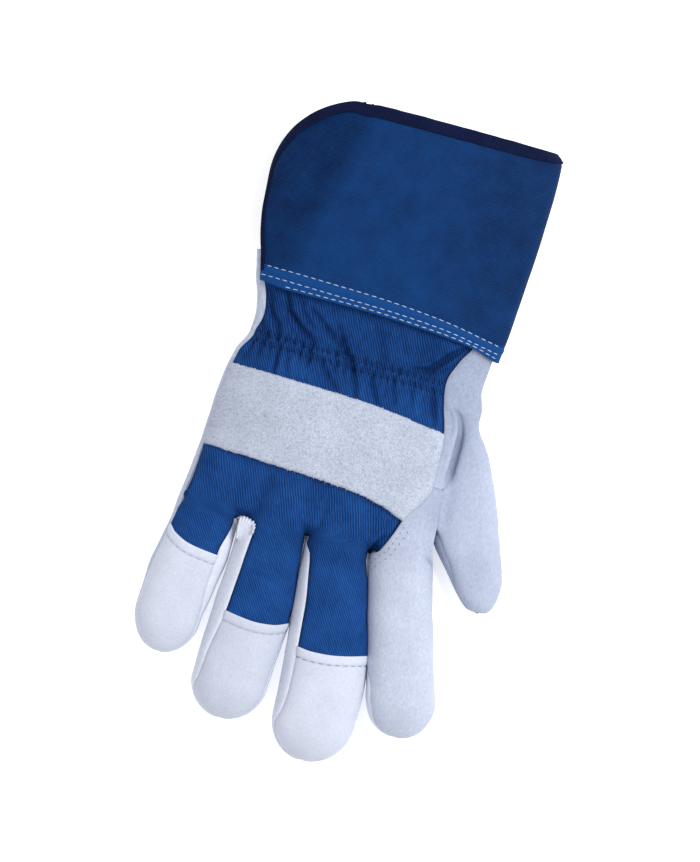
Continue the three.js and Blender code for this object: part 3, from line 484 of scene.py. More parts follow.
def split_leather(name, dark, pale, nap, relief, contrast, rough=0.92):
    """Split cowhide, buffed to a nap of short fibres: matt and pale with faint blotches from the dye
    bath, its fibres lying in tufts nap millimetres across."""
    material, tree = new_material(name)
    where = add(tree, "ShaderNodeTexCoord").outputs["Object"]
    blotch = add(tree, "ShaderNodeTexNoise", {"Scale": 1000 / 18, "Detail": 3, "Roughness": 0.55},
                 {"Vector": where})
    tufts = add(tree, "ShaderNodeTexNoise", {"Scale": 1000 / nap, "Detail": 4, "Roughness": 0.7,
                                             "Distortion": 0.6}, {"Vector": where})
    brushed = add(tree, "ShaderNodeMapping", {"Rotation": (0, 0, 0.5), "Scale": (1, 0.35, 1)},
                  {"Vector": where})
    fibres = add(tree, "ShaderNodeTexNoise", {"Scale": 1000 / (nap * 0.45), "Detail": 2, "Roughness": 0.6},
                 {"Vector": brushed.outputs["Vector"]})
    height = add(tree, "ShaderNodeMath", None, {0: tufts.outputs["Fac"], 1: fibres.outputs["Fac"]},
                 operation="ADD")
    grain = ranged(tree, height.outputs["Value"], 0.75, 1.25, 0.5 - contrast, 0.5 + contrast)
    tone = marked(tree, grain, ranged(tree, blotch.outputs["Fac"], 0.35, 0.65, -0.07, 0.07))
    shader = painted(tree, dark, pale, tone, height.outputs["Value"], 0.7, relief, rough, 0.2)
    shader.inputs["Sheen Weight"].default_value = 0.1
    return material


palm_leather = split_leather("split_cowhide", "98a0b4", "c6cde1", 1.4, 0.1, 0.3)

PALM_CELLS = {"little": 60, "ring": 34, "middle": 34, "index": 34}
PALM_WEB_CELLS = 3
PALM_FINGER_ROWS = (50, 16)
# The palm lies flat between these shares of the way across the little finger's and the index's part.
PALM_FLAT_START, PALM_FLAT_END = 0.25, 0.7
palm_y = np.linspace(WRIST_END_Y, WEB_Y, 140)


def palm_finger(name, y):
    cut = finger_section(name, y)
    start = crown_angle(cut, cut["left_seam"]) if name == "little" else np.pi + SEAM_ANGLE
    return shared(arc(cut, start, 2 * np.pi - SEAM_ANGLE), PALM_CELLS[name])


def palm_hand(y):
    hand, parting = section(HAND, y), smooth(VALLEY_END_Y, WEB_Y, y)[:, None, None]
    blocks = []
    for name in FINGERS:
        finger = palm_finger(name, y)
        first, last = finger[:, 0], finger[:, -1]
        line = np.stack([points(first[:, 0], y, hand["floor"]), points(last[:, 0], y, hand["floor"])], 1)
        if name == "little":
            side = arc(hand, crown_angle(hand, drill_edges(y)[0]), np.pi + SEAM_ANGLE)
            flat_start = mix(hand["centre"] - hand["half"], last[:, 0], PALM_FLAT_START)
            flat = [points(x, y, hand["floor"])[:, None] for x in (flat_start, last[:, 0])]
            line = np.concatenate([side, *flat], 1)
        if name == "index":
            free = arc(hand, -SEAM_ANGLE, -SEAM_ANGLE)[:, 0]
            end = np.where((y >= THUMB_WEB_Y)[:, None], palm_seam(y), free)
            flat_end = mix(first[:, 0], end[:, 0], PALM_FLAT_END)
            line = np.stack([*(points(x, y, hand["floor"]) for x in (first[:, 0], flat_end)), end], 1)
            finger[:, -1] = end
        block = mix(shared(line, PALM_CELLS[name]), finger, parting)
        if blocks:
            t = np.linspace(0, 1, PALM_WEB_CELLS + 1)[1:-1, None]
            blocks.append(mix(blocks[-1][:, -1:], block[:, :1], t))
        blocks.append(block)
    return np.concatenate(blocks, 1)[:, ::-1]


palm_fingers = []
for name in FINGERS:
    if palm_fingers:
        palm_fingers.append(np.full((sum(PALM_FINGER_ROWS) + 1, PALM_WEB_CELLS - 1, 3), np.nan))
    palm_fingers.append(palm_finger(name, finger_rows(name, *PALM_FINGER_ROWS)))
palm_grid = np.concatenate([palm_hand(palm_y), np.concatenate(palm_fingers, 1)[:, ::-1]])
palm_grid = relaxed(palm_grid, 6)
palm_x, palm_yy, palm_z = palm_grid[..., 0], palm_grid[..., 1], palm_grid[..., 2]
palm_lift = drawn_in(from_border(palm_grid, palm_yy < WRIST_END_Y - 0.1), 0.6, 1.3)
# The cuff holds its side down. Where it lies on the table it has hollows but no bumps.
palm_lift = palm_lift - 1.4 * smooth(50, 57, palm_yy) * smooth(12, 17, palm_z)
waves = 0.3 * noise(palm_x, palm_yy, 9, 3)
palm_lift = palm_lift + np.where(palm_z > 2.5, waves, np.minimum(waves, 0))
palm = cut_sheet("palm_leather", palm_grid, PALM_LEATHER, palm_lift, palm_leather)
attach(palm, "root")
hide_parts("palm")

# ---------------------------------------------------------------------------------------------------
# The side walls between the fingers: narrow strips of thinner leather, each sewn in from one fingertip
# up to the web, across it, and down to the next fingertip, with its seams turned in. At the little
# finger's web the strip's spare leather is gathered into a small fan that shows on the back.
# ---------------------------------------------------------------------------------------------------

WALL_LEATHER = 1.2
WALL_CELLS, WALL_WEB_ROWS, WALL_FINGER_ROWS = 18, 5, (70, 18)
# Its colours are paler than the other leathers'. That is painted light: it brightens the fingers' sides,
# which face away from the lamps.
wall_leather = split_leather("thin_split_leather", "b6bdcd", "e3e7f2", 1.2, 0.08, 0.2)


def wall_rows(name, side, y):
    """One side of a finger, from the seam on its back to the seam under it."""
    cut = finger_section(name, y)
    if side == "right":
        line = arc(cut, crown_angle(cut, cut["right_seam"]), -SEAM_ANGLE)
    else:
        line = arc(cut, crown_angle(cut, cut["left_seam"]), np.pi + SEAM_ANGLE)
    return shared(line, WALL_CELLS)


for first, second in (("little", "ring"), ("ring", "middle"), ("middle", "index")):
    down = wall_rows(first, "right", np.concatenate([[WEB_Y], finger_rows(first, *WALL_FINGER_ROWS)]))[::-1]
    up = wall_rows(second, "left", np.concatenate([[WEB_Y], finger_rows(second, *WALL_FINGER_ROWS)]))
    web = mix(down[-1], up[0], np.linspace(0, 1, WALL_WEB_ROWS + 2)[1:-1, None, None])
    wall_grid = np.concatenate([down, web, up])[::-1]
    # The web's upper edge is tucked under the drill.
    tuck = smooth(WEB_Y - 2.4, WEB_Y - 0.2, wall_grid[..., 1])
    wall_grid[..., 2] -= 2.6 * tuck * np.linspace(1, 0, WALL_CELLS + 1) ** 0.5
    wall_dip = drawn_in(from_border(wall_grid), 0.45, 0.8)
    soft = 0.2 * smooth(17, 12, wall_grid[..., 2]) + 0.1 * noise(wall_grid[..., 1], wall_grid[..., 2], 5, 17)
    wall = cut_sheet(f"side_wall_{first}_to_{second}", wall_grid, WALL_LEATHER, wall_dip + soft, wall_leather)
    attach(wall, "root")
    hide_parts(f"side_wall_{first}_{second}")

# Just above the webs the valleys between the fingers widen.
VALLEY_HALF_WIDTH, VALLEY_WIDENS = 4.0, 6


def crown_height(cut, x, power=CROWN_POWER):
    across = np.clip(np.abs(x - cut["centre"]) / cut["half"], 0, 1)
    return cut["side"] + (cut["top"] - cut["side"]) * (1 - across**power) ** (1 / power)


def back_height(x, y):
    """The height of the glove's back: the hand's crown, parting into the fingers' towards the webs."""
    hand = crown_height(section(HAND, y), x)
    cuts = [finger_section(name, np.asarray(y, float)) for name in FINGERS]
    inset = VALLEY_HALF_WIDTH * smooth(WEB_Y, WEB_Y + VALLEY_WIDENS, y)

    def crown(cut, x):
        left, right = cut["centre"] - cut["half"] + inset, cut["centre"] + cut["half"] - inset
        return crown_height(cut, np.clip(x, left, right))

    z = crown(cuts[0], x)
    for before, after in zip(cuts[:-1], cuts[1:]):
        start, end = before["right_seam"] - inset, after["left_seam"] + inset
        between = mix(crown(before, x), crown(after, x), smooth(start, end, x))
        z = np.where(x > start, np.where(x < end, between, crown(after, x)), z)
    return mix(hand, z, smooth(VALLEY_END_Y, WEB_Y, y))


FAN_TIP, FAN_LEATHER, FAN_PLEATS, FAN_ROWS, FAN_CELLS = (-33.1, -55.6), 1.0, 8, 30, 73
# The fan opens from the thumb's side, in degrees, round to the little finger's, and reaches this far
# from its tip.
FAN_START, FAN_END = 37, 99
FAN_REACH = table("turn reach", (FAN_START, 7.2), (46, 8.6), (55, 9.9), (65, 10.3), (80, 10.4), (90, 10.3),
                  (FAN_END, 9.4))
turn = np.linspace(FAN_END, FAN_START, FAN_CELLS)[None, :] * np.ones((FAN_ROWS, 1))
share = np.linspace(1, 0.07, FAN_ROWS)[:, None] * np.ones((1, FAN_CELLS))
pleat = np.sin(np.pi * FAN_PLEATS * (turn - FAN_START) / (FAN_END - FAN_START))
reach = at(FAN_REACH, turn, "reach") * (1 + 0.045 * (np.abs(pleat) - 0.5)) * share
fan_x = FAN_TIP[0] + reach * np.cos(np.radians(turn))
fan_y = FAN_TIP[1] + reach * np.sin(np.radians(turn))
fan_z = np.maximum(back_height(fan_x, np.maximum(fan_y, -50)), 19.0) + 0.7 - 3.2 * (1 - share) ** 2
fan_z += smooth(0.45, 0.95, share) * (0.55 * np.abs(pleat) - 0.3) - 1.0 * smooth(0.9, 1.0, share)
fan_grid = points(fan_x, fan_y, fan_z)
# Painted shade: the creases between the pleats are painted darker, most towards the fan's rim.
fan_shade = -0.25 * np.exp(-((pleat / 0.35) ** 2)) * smooth(0.4, 0.9, share)
fan = cut_sheet("gathered_web", fan_grid, FAN_LEATHER, 0.05 * noise(fan_x, fan_y, 0.8, 19), wall_leather,
                fan_shade, bulge=0.2)
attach(fan, "root")

# ---------------------------------------------------------------------------------------------------
# The back: royal blue cotton drill, one piece over the hand and three fingers, which runs under the
# strap, the caps and the index finger's leather. Elastic sewn inside the wrist in two zigzag rows
# gathers it into folds and small puckers.
# ---------------------------------------------------------------------------------------------------

DRILL = 1.4
TWILL_PITCH = 1.05
# How far the drill runs on under a cap.
HEM_LAP = 2.2
BACK_CELLS = {"little": 42, "ring": 42, "middle": 44, "index": 40}
BACK_WEB_CELLS, EDGE_CELLS, FINGER_BACK_ROWS = 4, 12, 62
# Where the drill runs under leather it is lowered over this length, by this much. Along its slanting
# edge that starts at the height UNDER_COVER_Y.
LAP_RAMP, LAP_DROP, UNDER_COVER_Y = 0.8, 0.8, 2.2

# Each fold's line, its depth, and the half width of its valley.
FOLDS = [
    ([(-40.0, 49), (-37.0, 41), (-31, 35.5), (-23.5, 30.5)], 1.9, 1.05),
    ([(-34.5, 48), (-31, 41.5), (-26, 36)], 0.8, 1.0),
    ([(-47, 47), (-42.5, 37), (-37.5, 30)], 1.5, 1.2),
    ([(-50, 40), (-46, 33), (-43, 28.5)], 0.7, 1.0),
    ([(-28.5, 43.5), (-21, 38.5), (-14, 33.5), (-9, 29)], 1.4, 1.2),
    ([(-15.5, 39), (-9.5, 31), (-5, 24), (-1, 12)], 1.8, 1.15),
    ([(-43, 30), (-45, 21)], 1.4, 0.95),
    ([(-47, 27), (-49.5, 17)], 1.0, 1.0),
    ([(-38.5, 30), (-36.5, 20), (-36.5, 13)], 1.5, 0.95),
    ([(-33, 26), (-31, 15)], 0.8, 0.9),
    ([(-25, 31), (-24, 21)], 1.1, 0.85),
    ([(-20.5, 25.5), (-15, 20), (-8.5, 13)], 1.3, 1.05),
    ([(-13, 25), (-11, 18)], 0.7, 0.8),
    ([(1.5, 27), (5, 19), (8, 12)], 1.3, 1.0),
    ([(11.5, 26), (14.5, 15)], 0.9, 0.9),
    ([(20, 25), (22, 14)], 0.8, 0.9),
    ([(18, 30), (25.5, 32), (30.5, 38), (37.5, 45)], 2.2, 1.2),
    ([(24, 30), (31, 33), (34.5, 37)], 0.9, 1.0),
    ([(28.5, 24), (31, 17), (33, 11)], 1.5, 1.0),
    ([(0, 44), (5, 34), (8, 29)], 0.5, 1.3),
    ([(11, 43), (14.5, 34)], 0.45, 1.2),
    ([(-26, -24), (-27, -31), (-28.5, -38), (-31, -45)], 0.6, 2.8),
    ([(-8, -40), (-6.5, -44), (-6, -48)], 0.2, 1.5),
    ([(19, -24), (19.8, -34), (21, -44), (20.8, -47)], 0.6, 2.4),
    ([(24.5, -38.5), (22.6, -42), (21.2, -46.5)], 1.6, 1.0),
    ([(-52, -28), (-44, -31)], 0.35, 1.6),
    ([(-50, -44), (-42, -45.5)], 0.35, 1.3),
    ([(-24, -66), (-15, -68)], 0.3, 1.4),
    ([(2, -72), (14, -74)], 0.3, 1.5),
]
# The heights of the elastic's two rows, and the length of one zigzag.
ELASTIC_ROWS, ZIGZAG_PITCH = (28.4, 24.9), 2.9


def finger_back(name, y):
    """The back of a finger, from seam to seam."""
    cut = finger_section(name, y)
    line = arc(cut, crown_angle(cut, cut["left_seam"]), crown_angle(cut, cut["right_seam"]))
    return shared(line, BACK_CELLS[name])


def hemmed(name, y, shift):
    """The back of a finger where each column's height is moved by its own shift."""
    columns = [finger_back(name, y + shift[:, j])[:, j] for j in range(shift.shape[1])]
    return np.stack(columns, 1)


# The caps' cut edges, across each finger.
HEMS = {
    "little": table("x y", (-62, -56.0), (-59, -58.6), (-51, -61.9), (-45, -62.9), (-38, -63.7)),
    "ring": table("x y", (-31, -84.3), (-24, -85.3), (-17, -85.9), (-10, -85.3), (-4, -83.2)),
    "middle": table("x y", (1, -90.9), (8, -91.6), (15, -91.2), (22, -89.9), (31, -87.8)),
}


def hem_at(name, shift=0.0):
    """The hem's height at each column of the finger's back, moved towards the tip."""
    middle = np.full(1, float(HEMS[name]["y"].mean()))
    x = finger_back(name, middle)[0, :, 0]
    return at(HEMS[name], x, "y") - shift


def drill_hand(y):
    """The drill over the hand: columns of even width at the wrist, which gather towards the fingers."""
    left, right = drill_edges(y)
    columns = []
    for name in ("little", "ring", "middle"):
        cut = finger_section(name, y)
        start = left if name == "little" else cut["left_seam"]
        if columns:
            t = np.linspace(0, 1, BACK_WEB_CELLS + 1)[1:-1]
            columns.append(mix(columns[-1][:, -1:], start[:, None], t))
        t = np.linspace(0, 1, BACK_CELLS[name] + 1)
        t = mix(t, (1 - np.cos(np.pi * t)) / 2, 0.5)
        columns.append(mix(start[:, None], cut["right_seam"][:, None], t))
    t = np.linspace(0, 1, EDGE_CELLS + 1)[1:]
    columns.append(mix(columns[-1][:, -1:], right[:, None], t))
    webbed = np.concatenate(columns, 1)
    even = mix(left[:, None], right[:, None], np.linspace(0, 1, webbed.shape[1]))
    x = mix(even, webbed, smooth(12, WEB_Y, y)[:, None])
    rows = np.broadcast_to(y[:, None], x.shape)
    return points(x, rows, back_height(x, rows))


def fold_depth(x, y):
    """The folds' valleys, each with a low ridge on both sides, and how deep in a valley a point lies."""
    total, valleys = np.zeros_like(x), np.zeros_like(x)
    swayed_x, swayed_y = x + 0.5 * noise(x, y, 5, 12), y + 0.5 * noise(x, y, 5, 13)
    for line, depth, width in FOLDS:
        near = np.full_like(x, 1e9)
        along = np.zeros_like(x)
        for n, ((ax, ay), (bx, by)) in enumerate(zip(line[:-1], line[1:])):
            length = (bx - ax) ** 2 + (by - ay) ** 2
            t = np.clip(((swayed_x - ax) * (bx - ax) + (swayed_y - ay) * (by - ay)) / length, 0, 1)
            away = np.hypot(swayed_x - mix(ax, bx, t), swayed_y - mix(ay, by, t))
            along = np.where(away < near, (n + t) / (len(line) - 1), along)
            near = np.minimum(near, away)
        fade = np.sin(np.pi * np.clip(along * 0.9 + 0.05, 0, 1)) ** 0.5
        valley = np.exp(-((near / width) ** 2))
        ridge = np.exp(-(((near - 2.1 * width) / (1.1 * width)) ** 2))
        total += 0.8 * depth * fade * (0.45 * ridge - valley)
        valleys += depth * fade * valley
    return total, valleys


def puckers(x, y):
    """The bunches that the elastic's two zigzag rows leave, and the ripples above and below them."""
    swayed = x + 1.4 * noise(x, y, 6, 11)
    total, valleys = np.zeros_like(x), np.zeros_like(x)
    for n, row in enumerate(ELASTIC_ROWS):
        wave = np.sin(2 * np.pi * swayed / ZIGZAG_PITCH + 2 * n)
        off = y - (row - 0.012 * x + 0.7 * wave)
        groove = np.exp(-((off / 0.55) ** 2))
        bunch = np.cos(2 * np.pi * swayed / ZIGZAG_PITCH + 2 * n) * np.exp(-((off / 1.9) ** 2))
        total += 0.6 * bunch - 0.7 * groove
        valleys += 0.7 * groove
    off = y - np.mean(ELASTIC_ROWS)
    fan_out = 1 + 0.012 * np.abs(off)
    streaks = noise(x * fan_out + 0.1 * np.abs(off), y * 0.13 + 40, 1.9, 5)
    total += 0.55 * np.exp(-((off / 8.5) ** 2)) * streaks
    valleys += 0.45 * np.exp(-((off / 9.5) ** 2)) * np.maximum(0, -streaks)
    total += 0.5 * np.exp(-((off / 15) ** 2)) * noise(x, y * 0.2, 4.5, 7)
    inside = smooth(-54, -46, x)
    return total * inside, valleys * inside


def cotton_drill(name, dark, pale, lean, pitch, rough, contrast, height):
    """Cotton drill, a twill weave: fine ribs a pitch apart lean across the cloth, paler where the warp
    rises, broken by slubs, over small differences of dye. The ribs are drawn a little coarser than the
    cloth's own 0.7 mm, so that they show."""
    material, tree = new_material(name)
    uv = add(tree, "ShaderNodeUVMap", uv_map="cloth").outputs["UV"]
    turned = add(tree, "ShaderNodeMapping", {"Rotation": (0, 0, lean)}, {"Vector": uv})
    ribs = add(tree, "ShaderNodeTexWave", {"Scale": np.pi / 10 / pitch, "Distortion": 2.8, "Detail": 2,
                                           "Detail Scale": 0.7, "Detail Roughness": 0.6},
               {"Vector": turned.outputs["Vector"]})
    drawn = add(tree, "ShaderNodeMapping", {"Scale": (1.0, 0.3, 1)}, {"Vector": turned.outputs["Vector"]})
    slubs = add(tree, "ShaderNodeTexNoise", {"Scale": 1 / (pitch * 0.9), "Detail": 3, "Roughness": 0.65},
                {"Vector": drawn.outputs["Vector"]})
    dye = add(tree, "ShaderNodeTexNoise", {"Scale": 1 / 11, "Detail": 3, "Roughness": 0.6}, {"Vector": uv})
    raised = add(tree, "ShaderNodeMath", None, {0: ribs.outputs["Fac"], 1: slubs.outputs["Fac"]},
                 operation="MULTIPLY")
    grain = ranged(tree, raised.outputs["Value"], 0.05, 0.6, 0.5 - contrast, 0.5 + contrast)
    tone = marked(tree, grain, ranged(tree, dye.outputs["Fac"], 0.3, 0.7, -0.12, 0.12))
    painted(tree, dark, pale, tone, raised.outputs["Value"], 0.6, height, rough, 0.07)
    return material


drill_blue = cotton_drill("cotton_drill_twill", "08204a", "22559c", -0.34, TWILL_PITCH, 0.95, 0.3, 0.12)

drill_y = np.linspace(WRIST_END_Y, WEB_Y, 190)
on_fingers = []
for name in ("little", "ring", "middle"):
    end = hem_at(name, HEM_LAP)
    way = np.linspace(0, 1, FINGER_BACK_ROWS)
    y = mix(float(CROTCH_Y), float(end.mean()), way)
    shift = (end - end.mean())[None, :] * way[:, None] ** 1.5
    if on_fingers:
        on_fingers.append(np.full((len(y), BACK_WEB_CELLS - 1, 3), np.nan))
    on_fingers.append(hemmed(name, y, shift))
on_fingers.append(np.full((FINGER_BACK_ROWS, EDGE_CELLS, 3), np.nan))
drill_grid = np.concatenate([drill_hand(drill_y), np.concatenate(on_fingers, 1)])
last_row = np.zeros(drill_grid.shape[:2], bool)
last_row[0] = last_row[-1] = True
drill_away = from_border(drill_grid, ~last_row)
drill_x, drill_yy = np.nan_to_num(drill_grid[..., 0]), np.nan_to_num(drill_grid[..., 1])
folds, fold_valleys = fold_depth(drill_x, drill_yy)
bunches, bunch_valleys = puckers(drill_x, drill_yy)
drill_lift = folds + bunches
drill_lift += 0.35 * noise(drill_x, drill_yy * 0.7, 7, 21) * smooth(-15, -25, drill_yy)
drill_lift += 0.3 * noise(drill_x * 0.5, drill_yy, 4, 22) * smooth(-40, -55, drill_yy)
drill_lift = drill_lift * smooth(WRIST_END_Y, 50, drill_yy) * smooth(0, 2.2, drill_away)
drill_lift += drawn_in(drill_away, mix(0.9, 0.3, smooth(WEB_Y + 2, WEB_Y - 2, drill_yy)), 1.2) - 0.1
# It lies lower under the cuff and the caps, and along its slanting edge under the index's leather.
drill_lift -= 0.9 * smooth(51, 58, drill_yy)
last_y = drill_grid[-1, :, 1]
under = np.where(np.isnan(last_y), 0, smooth(HEM_LAP, HEM_LAP - LAP_RAMP, drill_yy - np.nan_to_num(last_y)))
edge_under = smooth(UNDER_COVER_Y, UNDER_COVER_Y - LAP_RAMP, drill_yy[:, -EDGE_CELLS:])
under[:, -EDGE_CELLS:] = edge_under * np.linspace(0, 1, EDGE_CELLS)
drill_lift -= LAP_DROP * under
# Painted shade: the folds' valleys, the elastic's grooves and the drawn-in seams along its sides are painted
# darker. The cloth is also darker towards the wrist and paler down the fingers.
drill_shade = -0.17 * np.minimum(fold_valleys, 2) - 0.22 * np.minimum(bunch_valleys, 1.2)
drill_shade += mix(0.0, -0.14, smooth(10, 30, drill_yy)) + 0.08 * smooth(-50, -60, drill_yy)
drill_shade -= 0.5 * np.exp(-((drill_away / 0.8) ** 2))
# The twill's lines slant more on the fingers and towards the wrist.
drift = 0.3 * np.minimum(0, drill_yy + 44) + 0.12 * np.maximum(0, drill_yy - 5)
drill = cut_sheet("drill_back", drill_grid, DRILL, drill_lift, drill_blue, drill_shade, drift)
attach(drill, "root")
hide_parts("back_drill")


def laid_on(piece, path):
    """Places on a piece's upper surface straight below each point of a path, and the way it faces."""
    mesh = piece.data
    tree = BVHTree.FromPolygons([v.co for v in mesh.vertices], [p.vertices for p in mesh.polygons])
    places, normals = [], []
    for x, y in path:
        above = Vector(((x - GLOVE_MIDDLE[0]) / 1000, (y - GLOVE_MIDDLE[1]) / 1000, 0.1))
        place, normal, _, _ = tree.ray_cast(above, Vector((0, 0, -1)))
        if place:
            places.append(place)
            normals.append(normal)
    return places, normals


def lengths(line):
    """How far along a line each of its points lies."""
    return np.concatenate([[0], np.cumsum(np.linalg.norm(np.diff(line, axis=0), axis=1))])


def along_path(corners, step=0.6):
    """Points a short step apart on a smooth line through corners."""
    corners = np.array(corners, float)
    run = lengths(corners)
    share = np.linspace(0, run[-1], int(run[-1] / step) + 2)
    columns = {"keys": run, "x": corners[:, 0], "y": corners[:, 1]}
    return np.stack([at(columns, share, "x"), at(columns, share, "y")], 1)


def group_taking(name, sizes, material):
    """An empty group of Geometry Nodes that takes a mesh, some sizes, a seed and a material."""
    group = bpy.data.node_groups.new(name, "GeometryNodeTree")
    group.interface.new_socket("Geometry", in_out="INPUT", socket_type="NodeSocketGeometry")
    for label, size in sizes.items():
        socket = group.interface.new_socket(label, in_out="INPUT", socket_type="NodeSocketFloat")
        socket.default_value = size
    group.interface.new_socket("Seed", in_out="INPUT", socket_type="NodeSocketInt")
    group.interface.new_socket(material, in_out="INPUT", socket_type="NodeSocketMaterial")
    group.interface.new_socket("Geometry", in_out="OUTPUT", socket_type="NodeSocketGeometry")
    return group, add(group, "NodeGroupInput").outputs


# A row of stitches follows a path: one rounded stitch every pitch, swung to and fro where it zigzags.
stitches, given = group_taking("row_of_stitches", {"Pitch": 3.3, "Length": 2.2, "Width": 0.5, "Height": 0.35,
                                                   "Swing": 0.0, "Unevenness": 0.06}, "Thread")
metres = {}
for label in ("Pitch", "Length", "Width", "Height"):
    metre = add(stitches, "ShaderNodeMath", {1: 0.001}, {0: given[label]}, operation="MULTIPLY")
    metres[label] = metre.outputs[0]
line = add(stitches, "GeometryNodeMeshToCurve", None, {"Mesh": given["Geometry"]})
spaced = add(stitches, "GeometryNodeResampleCurve", None,
             {"Curve": line.outputs["Curve"], "Length": metres["Pitch"]}, mode="LENGTH")
one = add(stitches, "GeometryNodeMeshUVSphere", {"Segments": 8, "Rings": 6, "Radius": 0.5})
size = add(stitches, "ShaderNodeCombineXYZ", None,
           {"X": metres["Length"], "Y": metres["Width"], "Z": metres["Height"]})
upward = add(stitches, "GeometryNodeInputNamedAttribute", {"Name": "up"}, data_type="FLOAT_VECTOR")
ahead = add(stitches, "GeometryNodeInputTangent")
facing_up = add(stitches, "FunctionNodeAlignRotationToVector", None,
                {"Vector": upward.outputs["Attribute"]}, axis="Z")
turned = add(stitches, "FunctionNodeAlignRotationToVector", None,
             {"Rotation": facing_up.outputs["Rotation"], "Vector": ahead.outputs["Tangent"]}, axis="X",
             pivot_axis="Z")
count = add(stitches, "GeometryNodeInputIndex")
odd = add(stitches, "ShaderNodeMath", {1: 2.0}, {0: count.outputs["Index"]}, operation="MODULO")
side = add(stitches, "ShaderNodeMath", {1: 2.0, 2: -1.0}, {0: odd.outputs[0]}, operation="MULTIPLY_ADD")
less = add(stitches, "ShaderNodeMath", {1: -1.0}, {0: given["Unevenness"]}, operation="MULTIPLY")
wander = add(stitches, "FunctionNodeRandomValue", None, {2: less.outputs[0], 3: given["Unevenness"],
                                                         "Seed": given["Seed"]}, data_type="FLOAT")
swing = add(stitches, "ShaderNodeMath", None, {0: side.outputs[0], 1: given["Swing"], 2: wander.outputs[1]},
            operation="MULTIPLY_ADD")
twist = add(stitches, "ShaderNodeCombineXYZ", None, {"Z": swing.outputs[0]})
as_turn = add(stitches, "FunctionNodeEulerToRotation", None, {"Euler": twist.outputs[0]})
swung = add(stitches, "FunctionNodeRotateRotation", None,
            {"Rotation": turned.outputs["Rotation"], "Rotate By": as_turn.outputs["Rotation"]},
            rotation_space="LOCAL")
row = add(stitches, "GeometryNodeInstanceOnPoints", None,
          {"Points": spaced.outputs["Curve"], "Instance": one.outputs["Mesh"],
           "Rotation": swung.outputs["Rotation"], "Scale": size.outputs[0]})
real = add(stitches, "GeometryNodeRealizeInstances", None, {"Geometry": row.outputs["Instances"]})
rounded = add(stitches, "GeometryNodeSetShadeSmooth", None, {"Geometry": real.outputs["Geometry"]})
finished = add(stitches, "GeometryNodeSetMaterial", None, {"Geometry": rounded.outputs["Geometry"],
                                                           "Material": given["Thread"]})
add(stitches, "NodeGroupOutput", None, {"Geometry": finished.outputs["Geometry"]})


def made_by(tree, name, mesh, **sizes):
    """The plain mesh that a node tree makes of a base mesh, its sizes given by the tree's own labels."""
    holder = bpy.data.objects.new(name + "_base", mesh)
    bpy.context.scene.collection.objects.link(holder)
    modifier = holder.modifiers.new(name, "NODES")
    modifier.node_group = tree
    for socket in tree.interface.items_tree:
        if socket.name in sizes:
            modifier[socket.identifier] = sizes[socket.name]
    depsgraph = bpy.context.evaluated_depsgraph_get()
    result = bpy.data.meshes.new_from_object(holder.evaluated_get(depsgraph), depsgraph=depsgraph)
    bpy.data.objects.remove(holder)
    result.name = name
    piece = bpy.data.objects.new(name, result)
    bpy.context.scene.collection.objects.link(piece)
    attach(piece, "root")
    return piece


def sewn_row(name, piece, path, thread, slot, rise=0.1, **sizes):
    """A row of stitches laid on a piece along a path."""
    places, normals = laid_on(piece, path)
    mesh = bpy.data.meshes.new(name + "_path")
    mesh.from_pydata([p + n * rise / 1000 for p, n in zip(places, normals)],
                     [(k, k + 1) for k in range(len(places) - 1)], [])
    mesh.attributes.new("up", "FLOAT_VECTOR", "POINT").data.foreach_set(
        "vector", np.array(normals, np.float32).ravel())
    row = made_by(stitches, name, mesh, Thread=thread, **sizes)
    return row


def sewing_thread(name, dark, pale, rough):
    """Spun polyester thread, two plies twisted: a little uneven in tone and faintly glossy."""
    material, tree = new_material(name)
    where = add(tree, "ShaderNodeTexCoord").outputs["Object"]
    plies = add(tree, "ShaderNodeTexNoise", {"Scale": 1000 / 0.5, "Detail": 2}, {"Vector": where})
    painted(tree, dark, pale, plies.outputs["Fac"], plies.outputs["Fac"], 0.5, 0.1, rough, 0.3)
    return material


navy_thread = sewing_thread("navy_polyester_thread", "0a2452", "184080", 0.8)
for n, height in enumerate(ELASTIC_ROWS):
    row_path = along_path([(-47, height + 0.6), (-20, height + 0.3), (0, height), (20, height - 0.3),
                           (32, height - 0.5)])
    sewn_row(f"elastic_row_{n + 1}", drill, row_path, navy_thread, "cotton_drill", Pitch=ZIGZAG_PITCH / 2,
             Length=1.7, Width=0.32, Height=0.2, Swing=0.8, Unevenness=0.35, Seed=n)

# ---------------------------------------------------------------------------------------------------
# The fingertip caps: smoother split leather on three fingers. Each laps over the drill's end and is
# held there by one row of stitches about 4 mm from its cut edge.
# ---------------------------------------------------------------------------------------------------

CAP_LEATHER = 1.6
HEM_BAND = 4.0
CAP_SHADE = {"little": 0.05, "ring": -0.06, "middle": 0.1}
cap_leather = split_leather("smooth_split_leather", "a5abbe", "d8ddea", 1.1, 0.04, 0.13, 0.85)
grey_thread = sewing_thread("grey_polyester_thread", "566076", "858fa6", 0.6)
pale_thread = sewing_thread("pale_polyester_thread", "8b94a9", "b0b8cb", 0.6)

